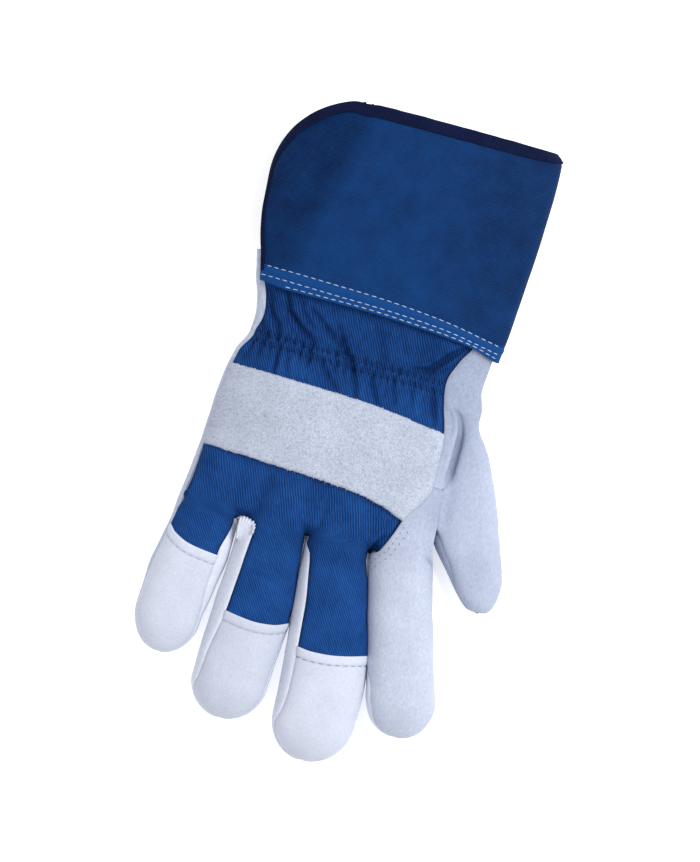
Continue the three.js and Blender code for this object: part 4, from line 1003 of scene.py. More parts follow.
for name in ("little", "ring", "middle"):
    finger = FINGERS[name]
    start = finger["tip"] + finger["round"]
    hem = hem_at(name)
    y = np.concatenate([np.linspace(float(hem.mean()), start, 52), tip_rows(name, 26)[1:]])
    shift = (hem - hem.mean())[None, :] * smooth(start, float(hem.mean()), y)[:, None] ** 0.8
    cap_grid = hemmed(name, y, shift)
    down = hem[None, :] - cap_grid[..., 1]
    cut_edge = np.zeros(down.shape, bool)
    cut_edge[0] = True
    dip = drawn_in(from_border(cap_grid, ~cut_edge), 0.5, 0.8)
    band = 0.5 * smooth(HEM_BAND + 0.8, 0.8, down) - 0.3 * np.exp(-(((down - HEM_BAND) / 0.5) ** 2))
    lift = dip + band + 0.2 * noise(cap_grid[..., 0], cap_grid[..., 1], 7, 31)
    # Each cap has its own tone, and the band from the cut edge to the stitches is paler. Painted shade
    # darkens the groove that the stitches pull in.
    shade = CAP_SHADE[name] + 0.12 * smooth(HEM_BAND + 0.2, HEM_BAND - 0.6, down)
    shade -= 0.35 * np.exp(-(((down - HEM_BAND) / 0.4) ** 2))
    wall = mix(0.7, CAP_LEATHER, smooth(HEM_LAP, HEM_LAP + 2.2, down))
    cap = cut_sheet(f"{name}_cap", cap_grid, wall, lift, cap_leather, shade, bulge=0.15)
    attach(cap, "root")
    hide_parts(f"{name}_finger_cap")
    ends = cap_grid[0, [2, -3], 0]
    row_x = np.linspace(ends[0], ends[1], 7)
    row_path = along_path(np.stack([row_x, at(HEMS[name], row_x, "y") - HEM_BAND], 1))
    thread = grey_thread if name == "middle" else pale_thread
    sewn_row(f"{name}_cap_stitches", cap, row_path, thread, "cap_leather", Pitch=3.1, Length=2.2, Width=0.3,
             Height=0.2, Seed=7, rise=0.05)

# ---------------------------------------------------------------------------------------------------
# The index finger: one piece of split leather from the strap's end down the back of the finger and
# round its outer side. Its slanting edge laps over the drill and is stitched twice.
# ---------------------------------------------------------------------------------------------------

COVER_LEATHER = 1.6
STRIP_END_Y, STRIP_TOP_Y = -14, 20
COVER_CELLS, COVER_WEB_CELLS, COVER_SIDE_CELLS = 200, 4, 18
# How deep the cover's edge is tucked into the fold beside the thumb.
TUCK_DEPTH = 1.5
FOLD_LINE = table("y x", (20, 38.0), (16, 42.0), (8, 43.6), (-14, 43.6), (-22, 44.0), (THUMB_WEB_Y, 44.2))


def back_line(start, end, y):
    """Over the glove's back from one place to another."""
    x = mix(start[:, None], end[:, None], FINE)
    rows = np.broadcast_to(y[:, None], x.shape)
    return points(x, rows, back_height(x, rows))


def fold_point(y):
    """The fold in which the thumb meets the hand."""
    cut = thumb_section(y)
    x = np.where(y > THUMB_WEB_Y, at(FOLD_LINE, y, "x"), cut["left_seam"])
    joined = smooth(4, STRIP_TOP_Y, y)
    return points(x, y, mix(crown_height(cut, x), back_height(x, y), joined))


def shoulder_line(start, y):
    """From a place on the back, over the hand's shoulder, down to the fold."""
    fold = fold_point(y)
    turn_x = np.maximum(mix(start, fold[:, 0], 0.3), fold[:, 0] - 3)
    high = back_height(turn_x, y)
    turn = FINE[1:] * np.pi / 2
    x = mix(turn_x[:, None], fold[:, :1], np.sin(turn))
    z = mix(high[:, None], fold[:, 2:], 1 - np.cos(turn))
    return np.concatenate([back_line(start, turn_x, y), points(x, y[:, None], z)], 1)


def outer_wall(y):
    """The index finger's outer side, down to the palm's seam."""
    cut = finger_section("index", y)
    return shared(arc(cut, crown_angle(cut, cut["right_seam"]), -SEAM_ANGLE), COVER_SIDE_CELLS)[:, 1:]


def cover_hand(y):
    """The cover above the finger's crotch: from its slanting edge on the drill over to the fold."""
    edge = drill_edges(y)[1]
    cut = finger_section("index", y)
    free = (y < THUMB_WEB_Y)[:, None, None]
    apart = smooth(THUMB_WEB_Y + 8, THUMB_WEB_Y, y)[:, None, None]
    whole = mix(shared(shoulder_line(edge, y), COVER_CELLS),
                shared(back_line(edge, cut["right_seam"], y), COVER_CELLS), apart)
    finger_start = np.maximum(cut["left_seam"], edge + 0.4)
    on_finger = shared(back_line(finger_start, cut["right_seam"], y), COVER_CELLS)
    on_finger = np.where(free, on_finger, whole)
    web_x = mix(edge[:, None], finger_start[:, None], np.linspace(0, 1, COVER_WEB_CELLS + 1)[:-1])
    rows = np.broadcast_to(y[:, None], web_x.shape)
    web = points(web_x, rows, back_height(web_x, rows))
    webbed = np.concatenate([web, shared(on_finger, BACK_CELLS["index"])], 1)
    top = mix(shared(whole, webbed.shape[1] - 1), webbed, smooth(WEB_Y + 3, WEB_Y, y)[:, None, None])
    # Beside the thumb the edge is tucked into the fold.
    fold = fold_point(y)
    tucked = np.stack([top[:, -1], fold, fold - np.array([0, 0, TUCK_DEPTH])], 1)
    tucked = shared(tucked, COVER_SIDE_CELLS)[:, 1:]
    side = np.where((y > THUMB_WEB_Y)[:, None, None], tucked, outer_wall(y))
    # In the thumb's web it runs down the thumb's inner side.
    thumb = thumb_section(y)
    inner = arc(thumb, crown_angle(thumb, thumb["left_seam"]), np.pi + SEAM_ANGLE)
    side = np.where((y == THUMB_WEB_Y)[:, None, None], shared(inner, COVER_SIDE_CELLS)[:, 1:], side)
    return np.concatenate([top, side], 1)


def cover_finger(y):
    """The cover below the crotch: the finger's back and outer side."""
    none = np.full((len(y), COVER_WEB_CELLS, 3), np.nan)
    return np.concatenate([none, finger_back("index", y), outer_wall(y)], 1)


def soft_fold(grid, tuck=0.0):
    """Fills the fold near the thumb's web, where two thicknesses of leather can't bend sharply. The
    lower one is tucked that much further in."""
    x, y, z = grid[..., 0], grid[..., 1], grid[..., 2]
    near = np.exp(-(((x - at(FOLD_LINE, y, "x")) / 2.4) ** 2)) * smooth(4, 8, z) * smooth(18, 13, z)
    grid[..., 0] = x - tuck * near * smooth(THUMB_WEB_Y - 1, THUMB_WEB_Y + 1, y) * smooth(-12, -15, y)
    grid[..., 2] = z + 2.9 * near * smooth(-6, -16, y) * smooth(THUMB_WEB_Y - 5, THUMB_WEB_Y + 1, y)
    return grid


index_leather = split_leather("index_split_leather", "98a0b5", "ccd3e4", 1.3, 0.06, 0.18)
cover_y = np.concatenate([np.linspace(STRIP_END_Y, THUMB_WEB_Y, 28),
                          np.linspace(THUMB_WEB_Y, WEB_Y, 32)[1:]])
cover_grid = soft_fold(np.concatenate([cover_hand(cover_y), cover_finger(finger_rows("index", 90, 26))]))
cover_x, cover_yy = np.nan_to_num(cover_grid[..., 0]), np.nan_to_num(cover_grid[..., 1])
on_drill = np.zeros(cover_x.shape, bool)
on_drill[:len(cover_y), 0] = True
beside_thumb = (cover_yy > THUMB_WEB_Y - 0.5) & (cover_x > 38)
edge_away = from_border(cover_grid, on_drill)
cover_lift = drawn_in(from_border(cover_grid, ~on_drill & ~beside_thumb),
                      mix(0.2, 0.5, smooth(0, 6, cover_x - at(INDEX, cover_yy, "left"))), 0.9)
# Its slanting edge stands up on the drill, and is turned down at the very cut.
edge_height = mix(0.15, 0.65, smooth(WEB_Y + 1, WEB_Y + 6, cover_yy))
edge_lift = edge_height * np.exp(-((edge_away / 2.6) ** 2)) - 0.35 * np.exp(-((edge_away / 0.35) ** 2))
cover_lift += edge_lift
past_fold = cover_x - at(FOLD_LINE, cover_yy, "x")
cover_lift += 0.3 * noise(cover_x, cover_yy, 9, 41) * smooth(0, 4, np.abs(past_fold))
seam_line = np.exp(-(((cover_yy - STRIP_END_Y) / 0.5) ** 2))
cover_shade = mix(0.05, -0.42, smooth(-62, -20, cover_yy)) - 0.3 * seam_line
cover = cut_sheet("index_leather", cover_grid, COVER_LEATHER, cover_lift, index_leather, cover_shade,
                  bulge=0.1)
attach(cover, "root")
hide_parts("index_finger_cover")

for n, inset in enumerate((2.2, 4.6)):
    edge_y = np.array([-31.5, -35, -39, -42.5, -46, -50, -53.5])[:7 - n]
    edge_x = at(DRILL_EDGE, edge_y, "x") + inset * 0.8
    edge_x[edge_y < WEB_Y] = (21.6 + 0.35 * inset, 22.4 + 0.2 * inset)[:int((edge_y < WEB_Y).sum())]
    row_path = along_path(np.stack([edge_x, edge_y - inset * 0.62], 1))
    sewn_row(f"index_stitches_{n + 1}", cover, row_path, grey_thread, "split_leather", Pitch=2.6,
             Length=1.1, Width=0.34, Height=0.25, Unevenness=0.5, Seed=11 + n, rise=0.02)

# ---------------------------------------------------------------------------------------------------
# The thumb: a back that runs up beside the wrist to the cuff, with the folded strip between it and
# the strap, and a front that lies on the table beside the palm. Both are split leather, seams turned in.
# ---------------------------------------------------------------------------------------------------

THUMB_BACK_LEATHER, THUMB_FRONT_LEATHER = 1.6, 1.8
STRIP_CELLS, THUMB_CELLS, FRONT_CELLS = 18, 60, 44
strip_top = np.array([float(STRIP_TOP_Y)])
strip_width = float(fold_point(strip_top)[0, 0] - drill_edges(strip_top)[1][0])
thumb_leather = split_leather("thumb_split_leather", "8b94aa", "bbc3d7", 1.3, 0.07, 0.18)


def thumb_line(y):
    """From the fold or the strip over the thumb, or beside the wrist, to the seam near the table."""
    hand, cut = section(HAND, y), thumb_section(y)
    start = np.where(y > THUMB_WEB_Y, fold_point(y)[:, 0], cut["left_seam"])
    start = np.where(y < STRIP_TOP_Y, start, drill_edges(y)[1] + strip_width)
    joined = smooth(4, STRIP_TOP_Y, y)[:, None, None]
    on_hand = shared(arc(hand, crown_angle(hand, start), -SEAM_ANGLE), THUMB_CELLS)
    on_thumb = shared(arc(cut, crown_angle(cut, start), -SEAM_ANGLE), THUMB_CELLS)
    return mix(on_thumb, on_hand, joined)


def thumb_rows(y):
    """The strip and the thumb's back, side by side."""
    edge = drill_edges(y)[1]
    level = shared(back_line(edge, edge + strip_width, y), STRIP_CELLS)
    folded = shared(shoulder_line(edge, y), STRIP_CELLS)
    strip = np.where((y > STRIP_TOP_Y)[:, None, None], level, folded)[:, :-1]
    strip = np.where((y < STRIP_END_Y)[:, None, None], np.nan, strip)
    return np.concatenate([strip, thumb_line(y)], 1)


def front_rows(y):
    """The thumb's front, from the seam with its back to the palm or round to its inner side."""
    cut, seam = thumb_section(y), palm_seam(y)
    start = thumb_line(y)[:, -1]
    flat = points(mix(start[:, 0], seam[:, 0], 0.25), y, seam[:, 2])
    beside = shared(np.stack([start, flat, seam], 1), FRONT_CELLS)
    under = shared(arc(cut, -SEAM_ANGLE, SEAM_ANGLE - np.pi), FRONT_CELLS)
    inner = arc(cut, crown_angle(cut, cut["left_seam"]), np.pi + SEAM_ANGLE)[:, ::-1]
    inner = shared(inner, COVER_SIDE_CELLS)[:, 1:]
    above = (y > THUMB_WEB_Y)[:, None, None]
    return np.concatenate([np.where(above, beside, under), np.where(above, np.nan, inner)], 1)


round_tip = np.sin(np.linspace(0, 1, 26)[1:] * np.pi / 2)
thumb_y = np.concatenate([np.linspace(WRIST_END_Y, STRIP_END_Y, 116),
                          np.linspace(STRIP_END_Y, THUMB_ROUND_Y, 50)[1:],
                          mix(THUMB_ROUND_Y, THUMB_TIP_Y, round_tip)])
thumb_grid = soft_fold(thumb_rows(thumb_y), 1.1)
thumb_x, thumb_yy = np.nan_to_num(thumb_grid[..., 0]), np.nan_to_num(thumb_grid[..., 1])
against_hand = (thumb_yy > THUMB_WEB_Y + 0.5) & (thumb_yy < STRIP_END_Y + 0.5) & (thumb_x < 47)
thumb_lift = drawn_in(from_border(thumb_grid, (thumb_yy < WRIST_END_Y - 0.1) & ~against_hand), 0.6, 1.0)
past_fold = thumb_x - at(FOLD_LINE, thumb_yy, "x")
# The strip stands up as a ridge beside the fold, and the fold is a dark groove.
in_fold = smooth(21, 16, thumb_yy) * smooth(-14, -3, thumb_yy)
ridge = 0.9 * np.exp(-(((past_fold + 2.0) / 1.4) ** 2))
groove = 1.5 * np.exp(-(((past_fold - 0.9) / 1.3) ** 2))
thumb_lift += in_fold * (ridge - groove)
waves = 0.4 * noise(thumb_x, thumb_yy, 11, 51) + 0.2 * noise(thumb_x, thumb_yy, 5, 52)
thumb_lift += waves * mix(1.0, smooth(0, 4, np.abs(past_fold)), smooth(-8, -14, thumb_yy))
# Painted shade: the fold's groove is painted darker, and so is a band beside it where the thumb slopes away.
# The thumb is also darker towards the wrist.
thumb_shade = 0.05 - 0.5 * in_fold * np.exp(-(((past_fold - 0.7) / 0.9) ** 2))
thumb_shade -= 0.42 * smooth(-10, 20, thumb_yy)
beside_fold = np.exp(-(((past_fold - 2.5) / 2.5) ** 2))
thumb_shade -= 0.25 * beside_fold * smooth(21, 16, thumb_yy) * smooth(-32, -20, thumb_yy)
thumb = cut_sheet("thumb_back_leather", thumb_grid, THUMB_BACK_LEATHER, thumb_lift, thumb_leather,
                  thumb_shade)
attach(thumb, "root")
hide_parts("thumb_back", "side_strip")

front_grid = front_rows(thumb_y)
front_yy = np.nan_to_num(front_grid[..., 1])
front_dip = drawn_in(from_border(front_grid, front_yy < WRIST_END_Y - 0.1), 0.5, 0.9)
front = cut_sheet("thumb_front_leather", front_grid, THUMB_FRONT_LEATHER, front_dip, thumb_leather, -0.2)
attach(front, "root")
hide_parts("thumb_front")

# ---------------------------------------------------------------------------------------------------
# The knuckle strap: a band of coarse split leather with raw cut edges, laid over the drill and sewn
# into the seams at both ends. Its nap stands up and its edges are hairy where the knife went.
# ---------------------------------------------------------------------------------------------------

STRAP_LEATHER, STRAP_CELLS, STRAP_ROWS = 1.7, 200, 72
# The strap lies this far above the drill.
STRAP_GAP = 0.4
STRAP = table("share upper lower", (0, 14.0, -20.4), (0.36, 13.2, -21.6), (0.7, 11.6, -23.6),
              (0.86, 9.8, -26.2), (1, 8.0, -30.2))
napped_leather = split_leather("napped_split_leather", "868ea1", "c5ccdb", 0.6, 0.16, 0.33, 1.0)

share = np.linspace(0, 1, STRAP_CELLS)[None, :] * np.ones((STRAP_ROWS, 1))
down = np.linspace(0, 1, STRAP_ROWS)[:, None] * np.ones((1, STRAP_CELLS))
strap_y = mix(at(STRAP, share, "upper"), at(STRAP, share, "lower"), down)
left, right = drill_edges(strap_y)
strap_x = mix(left, right, share)
upper_edge = 0.16 * noise(strap_x, 0 * strap_y + 3, 1.3, 61) + 0.22 * noise(strap_x, 0 * strap_y + 9, 5, 62)
lower_edge = 0.16 * noise(strap_x, 0 * strap_y + 5, 1.3, 65) + 0.22 * noise(strap_x, 0 * strap_y + 7, 5, 66)
strap_y = strap_y + upper_edge * smooth(0.2, 0, down) + lower_edge * smooth(0.8, 1, down)
bridged = np.maximum(back_height(strap_x, strap_y), crown_height(section(HAND, strap_y), strap_x))
strap_grid = points(strap_x, strap_y, bridged)
strap_grid = strap_grid + facing(strap_grid) * (STRAP_GAP + STRAP_LEATHER)
sewn_end = (share < 0.001) | (share > 0.999)
strap_away = from_border(strap_grid, ~sewn_end)
strap_lift = drawn_in(from_border(strap_grid, sewn_end), 1.2, 1.3) - 0.5 * np.exp(-((strap_away / 0.6) ** 2))
strap_lift += 0.07 * noise(strap_x, strap_y, 0.9, 63) + 0.3 * noise(strap_x, strap_y, 9, 64)
strap_shade = 0.04 * noise(strap_x, strap_y, 7, 67) + 0.14 * smooth(-45, 0, strap_x) + 0.05
strap = cut_sheet("knuckle_strap_leather", strap_grid, STRAP_LEATHER, strap_lift, napped_leather, strap_shade,
                  bulge=0.25)
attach(strap, "root")
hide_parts("knuckle_strap")

# Nap: short fibres scattered on a surface, each a fine cone that leans over in its own direction.
nap, given = group_taking("nap_of_fibres", {"Per square millimetre": 3.0, "Length": 1.1, "Thickness": 0.16,
                                            "Least lean": 1.1, "Most lean": 1.45}, "Leather")
many = add(nap, "ShaderNodeMath", {1: 1e6}, {0: given["Per square millimetre"]}, operation="MULTIPLY")
long = add(nap, "ShaderNodeMath", {1: 0.001}, {0: given["Length"]}, operation="MULTIPLY")
thick = add(nap, "ShaderNodeMath", {1: 0.0005}, {0: given["Thickness"]}, operation="MULTIPLY")
roots = add(nap, "GeometryNodeDistributePointsOnFaces", None,
            {"Mesh": given["Geometry"], "Density": many.outputs[0], "Seed": given["Seed"]})
fibre = add(nap, "GeometryNodeMeshCone", {"Vertices": 3, "Radius Top": 0.0},
            {"Radius Bottom": thick.outputs[0], "Depth": long.outputs[0]}, fill_type="NGON")
least = add(nap, "ShaderNodeCombineXYZ", {"Z": 0.0}, {"X": given["Least lean"]})
most = add(nap, "ShaderNodeCombineXYZ", {"Z": 6.283}, {"X": given["Most lean"]})
leaning = add(nap, "FunctionNodeRandomValue", None,
              {0: least.outputs[0], 1: most.outputs[0], "Seed": given["Seed"]}, data_type="FLOAT_VECTOR")
as_turn = add(nap, "FunctionNodeEulerToRotation", None, {"Euler": leaning.outputs[0]})
leant = add(nap, "FunctionNodeRotateRotation", None,
            {"Rotation": roots.outputs["Rotation"], "Rotate By": as_turn.outputs["Rotation"]},
            rotation_space="LOCAL")
sizes = add(nap, "FunctionNodeRandomValue", {2: 0.5, 3: 1.2}, {"Seed": given["Seed"]}, data_type="FLOAT")
coat = add(nap, "GeometryNodeInstanceOnPoints", None,
           {"Points": roots.outputs["Points"], "Instance": fibre.outputs["Mesh"],
            "Rotation": leant.outputs["Rotation"], "Scale": sizes.outputs[1]})
real = add(nap, "GeometryNodeRealizeInstances", None, {"Geometry": coat.outputs["Instances"]})
finished = add(nap, "GeometryNodeSetMaterial", None, {"Geometry": real.outputs["Geometry"],
                                                      "Material": given["Leather"]})
add(nap, "NodeGroupOutput", None, {"Geometry": finished.outputs["Geometry"]})


def patch_of(piece, chosen):
    """A mesh of only the chosen faces of a piece, for fibres to stand on."""
    corners = [tuple(p.vertices) for p in piece.data.polygons if chosen(p)]
    mesh = bpy.data.meshes.new(piece.name + "_patch")
    mesh.from_pydata([v.co[:] for v in piece.data.vertices], [], corners)
    return mesh


fibre_leather = split_leather("loose_leather_fibres", "959db0", "d9deea", 0.8, 0.05, 0.4, 1.0)
upper_side = patch_of(strap, lambda p: p.normal.z > 0.6)
strap_nap = made_by(nap, "strap_nap", upper_side, Leather=fibre_leather, Seed=3)
raw_edges = patch_of(strap, lambda p: abs(p.normal.z) < 0.75 and p.area < 6e-7)
strap_fringe = made_by(nap, "strap_fringe", raw_edges, Leather=fibre_leather, Seed=5, Length=0.6,
                       Thickness=0.12, **{"Per square millimetre": 2.2, "Least lean": 0.3, "Most lean": 1.3})

# ---------------------------------------------------------------------------------------------------
# The cuff: cotton drill stiffened with a film of rubber, one sheet round the wrist that is slit on the
# little finger's side. Its lower edge is folded to a band and sewn over the drill with three rows of
# white thread.
# ---------------------------------------------------------------------------------------------------

CUFF_CLOTH, CUFF_CELLS = 1.4, 300
# The rows of the cuff start level, and its lower edge swings down to its own line below CUFF_LEVEL_Y.
CUFF_START_Y, CUFF_LEVEL_Y = 46.6, 80
CUFF_MOUTH_Y, CORNER_START_Y, CORNER_WIDTH = 130.6, 95, 35
CUFF = table(
    "y left right top floor back_edge palm_edge power",
    (CUFF_START_Y, -55.6, 51.8, 22.8, 0.3, 4.2, 9, 2.4),
    (56, -56.6, 53.0, 23.6, 0.7, 3.5, 8, 2.4),
    (66, -57.3, 53.9, 24.4, 1.2, 1.7, 6, 2.6),
    (80, -58.0, 55.0, 25.4, 1.2, 0.2, 5, 2.9),
    (97, -58.9, 56.0, 26.4, 1.2, 0.2, 4, 2.9),
    (115, -59.3, 56.3, 27.0, 1.2, 0.2, 4, 2.4),
    (126.5, -59.3, 56.0, 27.3, 1.2, 0.2, 4, 2.2),
    (128.6, -59.3, 55.2, 27.4, 1.2, 0.2, 4, 2.2),
    (130, -59.3, 53.9, 27.4, 1.2, 0.2, 4, 2.2),
    (CUFF_MOUTH_Y, -59.3, 52.4, 27.4, 1.2, 0.2, 4, 2.2),
    (132, -59.3, 52.4, 27.4, 1.2, 0.2, 4, 2.2),
)
CUFF_LOWER_EDGE = table("x y", (-58, 50.6), (-50.7, 49.9), (-38.8, 48.5), (-13, 48.5), (19, 47.2),
                        (39.5, 45.2), (50, 42.4), (56, 41.6))
CUFF_ROWS = {
    "upper": table("x y", (-52.6, 56.3), (-25, 55.7), (0, 54.9), (25, 52.8), (48.9, 48.8)),
    "middle": table("x y", (-50.6, 52.3), (-25, 51.6), (0, 51.0), (25, 49.5), (49.4, 45.6)),
    "edge": table("x y", (-39.6, 49.6), (-13, 49.6), (19, 48.2), (38.5, 46.3), (49, 43.8)),
}


def cuff_rows(y):
    """The cuff from one side of the slit, over the back and round the palm, to the other."""
    cut = section(CUFF, y)
    power = at(CUFF, y, "power")[:, None]
    past = np.clip((y - CORNER_START_Y) / (CUFF_MOUTH_Y - CORNER_START_Y), 0, 1)
    left = cut["centre"] - cut["half"] + CORNER_WIDTH * (1 - np.sqrt(1 - past**2))
    back_edge = left + at(CUFF, y, "back_edge")
    over = arc(cut, crown_angle(cut, back_edge, power[:, 0]), np.pi / 2, power)
    under = arc(cut, np.pi / 2, -np.pi / 2)[:, 1:]
    end = points(left + at(CUFF, y, "palm_edge"), y, cut["floor"])[:, None]
    grid = shared(np.concatenate([over, under, end], 1), CUFF_CELLS)
    lowered = smooth(CUFF_LEVEL_Y, CUFF_START_Y, y)[:, None]
    shift = (at(CUFF_LOWER_EDGE, grid[..., 0], "y") - CUFF_START_Y) * lowered
    moved = section(CUFF, grid[..., 1] + shift)
    scale = (moved["top"] - moved["floor"]) / (cut["top"] - cut["floor"])[:, None]
    grid[..., 2] = moved["floor"] + (grid[..., 2] - cut["floor"][:, None]) * scale
    grid[..., 1] += shift
    return grid


cuff_blue = cotton_drill("rubberised_drill", "041a3e", "10417c", 1.5, 0.75, 0.7, 0.21, 0.07)
cuff_y = np.concatenate([np.linspace(CUFF_START_Y, CUFF_MOUTH_Y - 4, 112),
                         CUFF_MOUTH_Y - 4 * np.linspace(1, 0, 10)[1:] ** 1.3])
cuff_grid = cuff_rows(cuff_y)[::-1]
cuff_x, cuff_yy, cuff_z = cuff_grid[..., 0], cuff_grid[..., 1], cuff_grid[..., 2]
back_half = smooth(8, 12, cuff_z)
# The cut side rolls down round the corner, and the cloth breaks along one soft fold inside it.
bound = from_border(cuff_grid, (cuff_yy > 66) | (np.arange(cuff_x.shape[0]) == 0)[:, None])
roll = smooth(88, 108, cuff_yy) * smooth(-16, -42, cuff_x)
cuff_grid[..., 2] -= 4.5 * roll * np.clip(1 - bound / 11, 0, 1) ** 2 * back_half
fold_x = mix(-38.0, -22.0, np.clip((cuff_yy - 60) / 58, -0.2, 1.2))
past_fold = fold_x - cuff_x
bend = np.where(past_fold > 0, past_fold, 0) * smooth(52, 62, cuff_yy) * back_half
cuff_grid[..., 2] -= 0.16 * bend * smooth(30, 14, past_fold)
cuff_lift = 0.2 * noise(cuff_x, cuff_yy, 24, 71) + 0.05 * noise(cuff_x, cuff_yy, 7, 72)
cuff_lift += 0.25 * np.exp(-((past_fold / 3.5) ** 2)) * back_half
for rows in CUFF_ROWS.values():
    on_row = np.exp(-(((cuff_yy - at(rows, cuff_x, "y")) / 0.8) ** 2)) * back_half
    cuff_lift = cuff_lift - 0.4 * on_row * smooth(rows["keys"][0] - 2, rows["keys"][0] + 1, cuff_x)
in_band = smooth(0.4, -0.4, cuff_yy - at(CUFF_ROWS["upper"], cuff_x, "y")) * back_half
cuff_lift += 0.35 * in_band
cuff_lift *= smooth(4.5, 8, bound)
# The band is paler. Painted shade: the cloth left of the fold, which slopes away from the softbox, is painted
# darker. The cuff is also paler towards the hand and darker towards the thumb's side.
cuff_shade = 0.42 * in_band - 0.24 * smooth(-2, 9, past_fold) * back_half * (1 - in_band)
cuff_shade += 0.08 * smooth(90, 60, cuff_yy) - 0.2 * smooth(10, 40, cuff_x) * (1 - in_band)
# The cloth ends a little short of the line that the tape follows.
cuff = cut_sheet("cuff_cloth", cuff_grid[2:], CUFF_CLOTH, cuff_lift[2:], cuff_blue, cuff_shade[2:],
                 bulge=0.15)
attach(cuff, "root")
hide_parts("cuff")

white_thread = sewing_thread("white_polyester_thread", "8492b2", "cdd5e6", 0.6)
for n, (label, rows) in enumerate(CUFF_ROWS.items()):
    row_path = along_path(np.stack([rows["keys"], rows["y"]], 1))
    sewn_row(f"cuff_row_{label}", cuff, row_path, white_thread, "rubberised_drill", Pitch=3.2, Length=2.35,
             Width=0.38, Height=0.3, Unevenness=0.07, Seed=20 + n)

# ---------------------------------------------------------------------------------------------------
# The binding: navy woven tape, 10 mm wide, folded over the cuff's edge from one side of the slit, round
# the mouth, to the other, and stitched through near its inner edge.
# ---------------------------------------------------------------------------------------------------

TAPE, TAPE_DEPTH, TAPE_START_Y, TAPE_GAP = 0.6, 4.8, 50, 0.35
tape_navy = cotton_drill("woven_tape", "050917", "16204a", 0.0, 0.9, 0.9, 0.22, 0.1)


def eased(values, passes):
    """The same rows, each drawn towards its neighbours that many times."""
    for _ in range(passes):
        values = np.concatenate([values[:1], (values[:-2] + 2 * values[1:-1] + values[2:]) / 4, values[-1:]])
    return values


def binding(grid, away):
    """Points on the middle of the cuff's bound edge, with the way inwards and the way that the cloth
    faces, both taken a few millimetres inside the edge."""
    normals = facing(grid)
    middle = grid - normals * CUFF_CLOTH / 2
    start = int(np.argmin(np.abs(cuff_y[::-1] - TAPE_START_Y)))
    edge = np.concatenate([grid[start:0:-1, 0] - normals[start:0:-1, 2] * CUFF_CLOTH / 2,
                           grid[0] - normals[3] * CUFF_CLOTH / 2,
                           grid[1:start + 1, -1] - normals[1:start + 1, -3] * CUFF_CLOTH / 2])
    run = lengths(edge)
    even = np.linspace(0, run[-1], int(run[-1] / 0.7))
    edge = eased(np.stack([np.interp(even, run, edge[:, k]) for k in range(3)], 1), 8)
    inside = (away > 2.5) & (away < 5)
    tree = KDTree(int(inside.sum()))
    for n, place in enumerate(grid[inside]):
        tree.insert(place, n)
    tree.balance()
    near = np.array([[n for _, n, _ in tree.find_n(place, 30)] for place in edge])
    normal = eased(normals[inside][near].mean(1), 12)
    inward = eased(middle[inside][near].mean(1) - edge, 12)
    along = np.gradient(edge, axis=0)
    along /= np.linalg.norm(along, axis=1, keepdims=True)
    across = inward - along * (inward * along).sum(1, keepdims=True)
    across /= np.linalg.norm(across, axis=1, keepdims=True)
    square = np.cross(along, across)
    square *= np.sign((square * normal).sum())
    return edge, across, square / np.linalg.norm(square, axis=1, keepdims=True)


edge, across, normal = binding(cuff_grid, from_border(cuff_grid, cuff_yy > 51))
face = CUFF_CLOTH / 2 + TAPE_GAP
bend = np.linspace(np.pi / 2, 3 * np.pi / 2, 13)
profile = [(TAPE_DEPTH, face - 0.2), (TAPE_DEPTH, face + TAPE * 0.2), (TAPE_DEPTH - 0.4, face + TAPE * 0.8),
           (TAPE_DEPTH - 1.1, face + TAPE * 0.55), (TAPE_DEPTH - 1.9, face + TAPE), (2.2, face + TAPE)]
profile += [(0.5 + 1.0 * np.cos(a), (face + TAPE) * np.sin(a)) for a in bend]
profile += [(2.2, -face - TAPE), (TAPE_DEPTH - 0.35, -face - TAPE), (TAPE_DEPTH, -face - TAPE * 0.6),
            (TAPE_DEPTH, -face), (0.7, -face + 0.2), (0.5, 0), (0.7, face - 0.2)]
profile = np.array(profile)
# Down the slit the tape sits mostly inside the cuff, so less of it shows.
depth = mix(0.35, 1.0, smooth(82, 112, edge[:, 1]))[:, None, None]
wobble = 0.12 * noise(np.arange(len(edge)) * 0.5, np.zeros(len(edge)), 3, 81)[:, None, None]
inwards = across[:, None] * (profile[None, :, :1] * depth + wobble)
rings = eased(edge[:, None] + inwards + normal[:, None] * profile[None, :, 1:], 8)
rings[..., 2] = np.maximum(rings[..., 2], 0)
n_ring, n_side = rings.shape[:2]
index = np.arange(n_ring * n_side).reshape(n_ring, n_side)
here, beyond = index[:-1], index[1:]
faces = np.stack([here, beyond, np.roll(beyond, -1, 1), np.roll(here, -1, 1)], -1).reshape(-1, 4)
flat = np.stack(np.broadcast_arrays(lengths(edge)[:, None], lengths(profile)[None, :]), -1).reshape(-1, 2)
ends = []
for ring, turned_round in ((index[0], False), (index[-1], True)):
    order = ring[::-1] if turned_round else ring
    for k in range(1, n_side // 2):
        ends.append((order[k - 1], order[k], order[-k - 1], order[-k]))
tape = new_piece("cuff_tape", rings.reshape(-1, 3), np.concatenate([faces, np.array(ends)]), flat,
                 {"shade": np.zeros(len(flat))}, tape_navy)
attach(tape, "root")
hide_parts("cuff_binding")

# ---------------------------------------------------------------------------------------------------
# The table and the light: a plain white board, lit a little from below as on a light table, a large
# soft lamp from the thumb's side, and the camera straight above, turned as the photograph is.
# ---------------------------------------------------------------------------------------------------

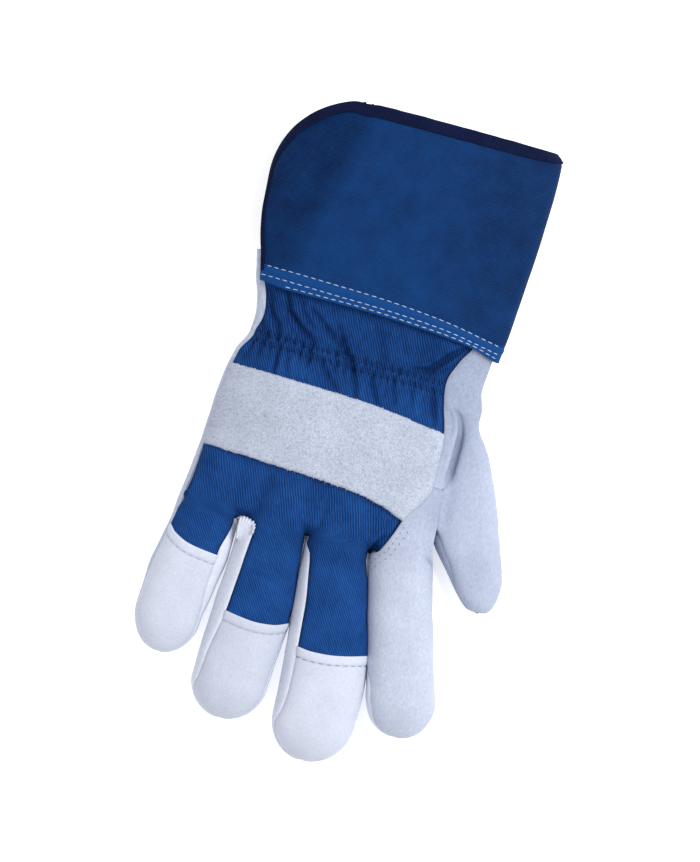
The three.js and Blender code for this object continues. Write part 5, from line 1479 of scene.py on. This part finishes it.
# The board, 6 m square, lies 0.2 mm under the glove.
BOARD_HALF, BOARD_Z = 3, -0.0002
board_mesh = bpy.data.meshes.new("table_top")
board_corners = [(x * BOARD_HALF, y * BOARD_HALF, BOARD_Z) for x, y in ((-1, -1), (1, -1), (1, 1), (-1, 1))]
board_mesh.from_pydata(board_corners, [], [(0, 1, 2, 3)])
board = bpy.data.objects.new("table_top", board_mesh)
bpy.context.scene.collection.objects.link(board)
white_board = bpy.data.materials.new("white_board")
white_board.use_nodes = True
board_shader = white_board.node_tree.nodes["Principled BSDF"]
board_shader.inputs["Base Color"].default_value = (0.9, 0.9, 0.9, 1)
board_shader.inputs["Roughness"].default_value = 0.9
# Painted light: the board glows a little, so that it lights the glove from below as a light table would,
# though it is no lamp.
board_shader.inputs["Emission Color"].default_value = (1, 1, 1, 1)
board_shader.inputs["Emission Strength"].default_value = 0.5
board_mesh.materials.append(white_board)

world = bpy.data.worlds.new("studio")
bpy.context.scene.world = world
world.use_nodes = True
world.node_tree.nodes["Background"].inputs["Color"].default_value = (0.97, 0.98, 1.0, 1)
world.node_tree.nodes["Background"].inputs["Strength"].default_value = 0.56

for name, place, size, power in (("softbox", (0.6, 0.4, 0.9), 0.7, 12.0),
                                 ("fill", (-0.6, -0.4, 1.1), 1.0, 4.0)):
    lamp = bpy.data.lights.new(name, "AREA")
    lamp.energy, lamp.size = power, size
    light = bpy.data.objects.new(name, lamp)
    bpy.context.scene.collection.objects.link(light)
    light.location = place
    light.rotation_mode = "QUATERNION"
    light.rotation_quaternion = (Vector((0, 0, 0)) - Vector(place)).to_track_quat("-Z", "Y")

# The camera shows this much of the table from top to bottom, measured at the glove's mid height.
VIEW_HEIGHT, CAMERA_HEIGHT, GLOVE_MIDDLE_Z, SENSOR = 0.3534, 2.2, 0.012, 36
lens = bpy.data.cameras.new("camera")
lens.sensor_width = SENSOR
lens.lens = SENSOR * (CAMERA_HEIGHT - GLOVE_MIDDLE_Z) / VIEW_HEIGHT
lens.clip_end = 20
camera = bpy.data.objects.new("camera", lens)
bpy.context.scene.collection.objects.link(camera)
camera.location = (-0.0051, 0.0011, CAMERA_HEIGHT)
camera.rotation_euler = (0, 0, np.radians(15))
bpy.context.scene.camera = camera
bpy.context.scene.view_settings.view_transform = "Standard"
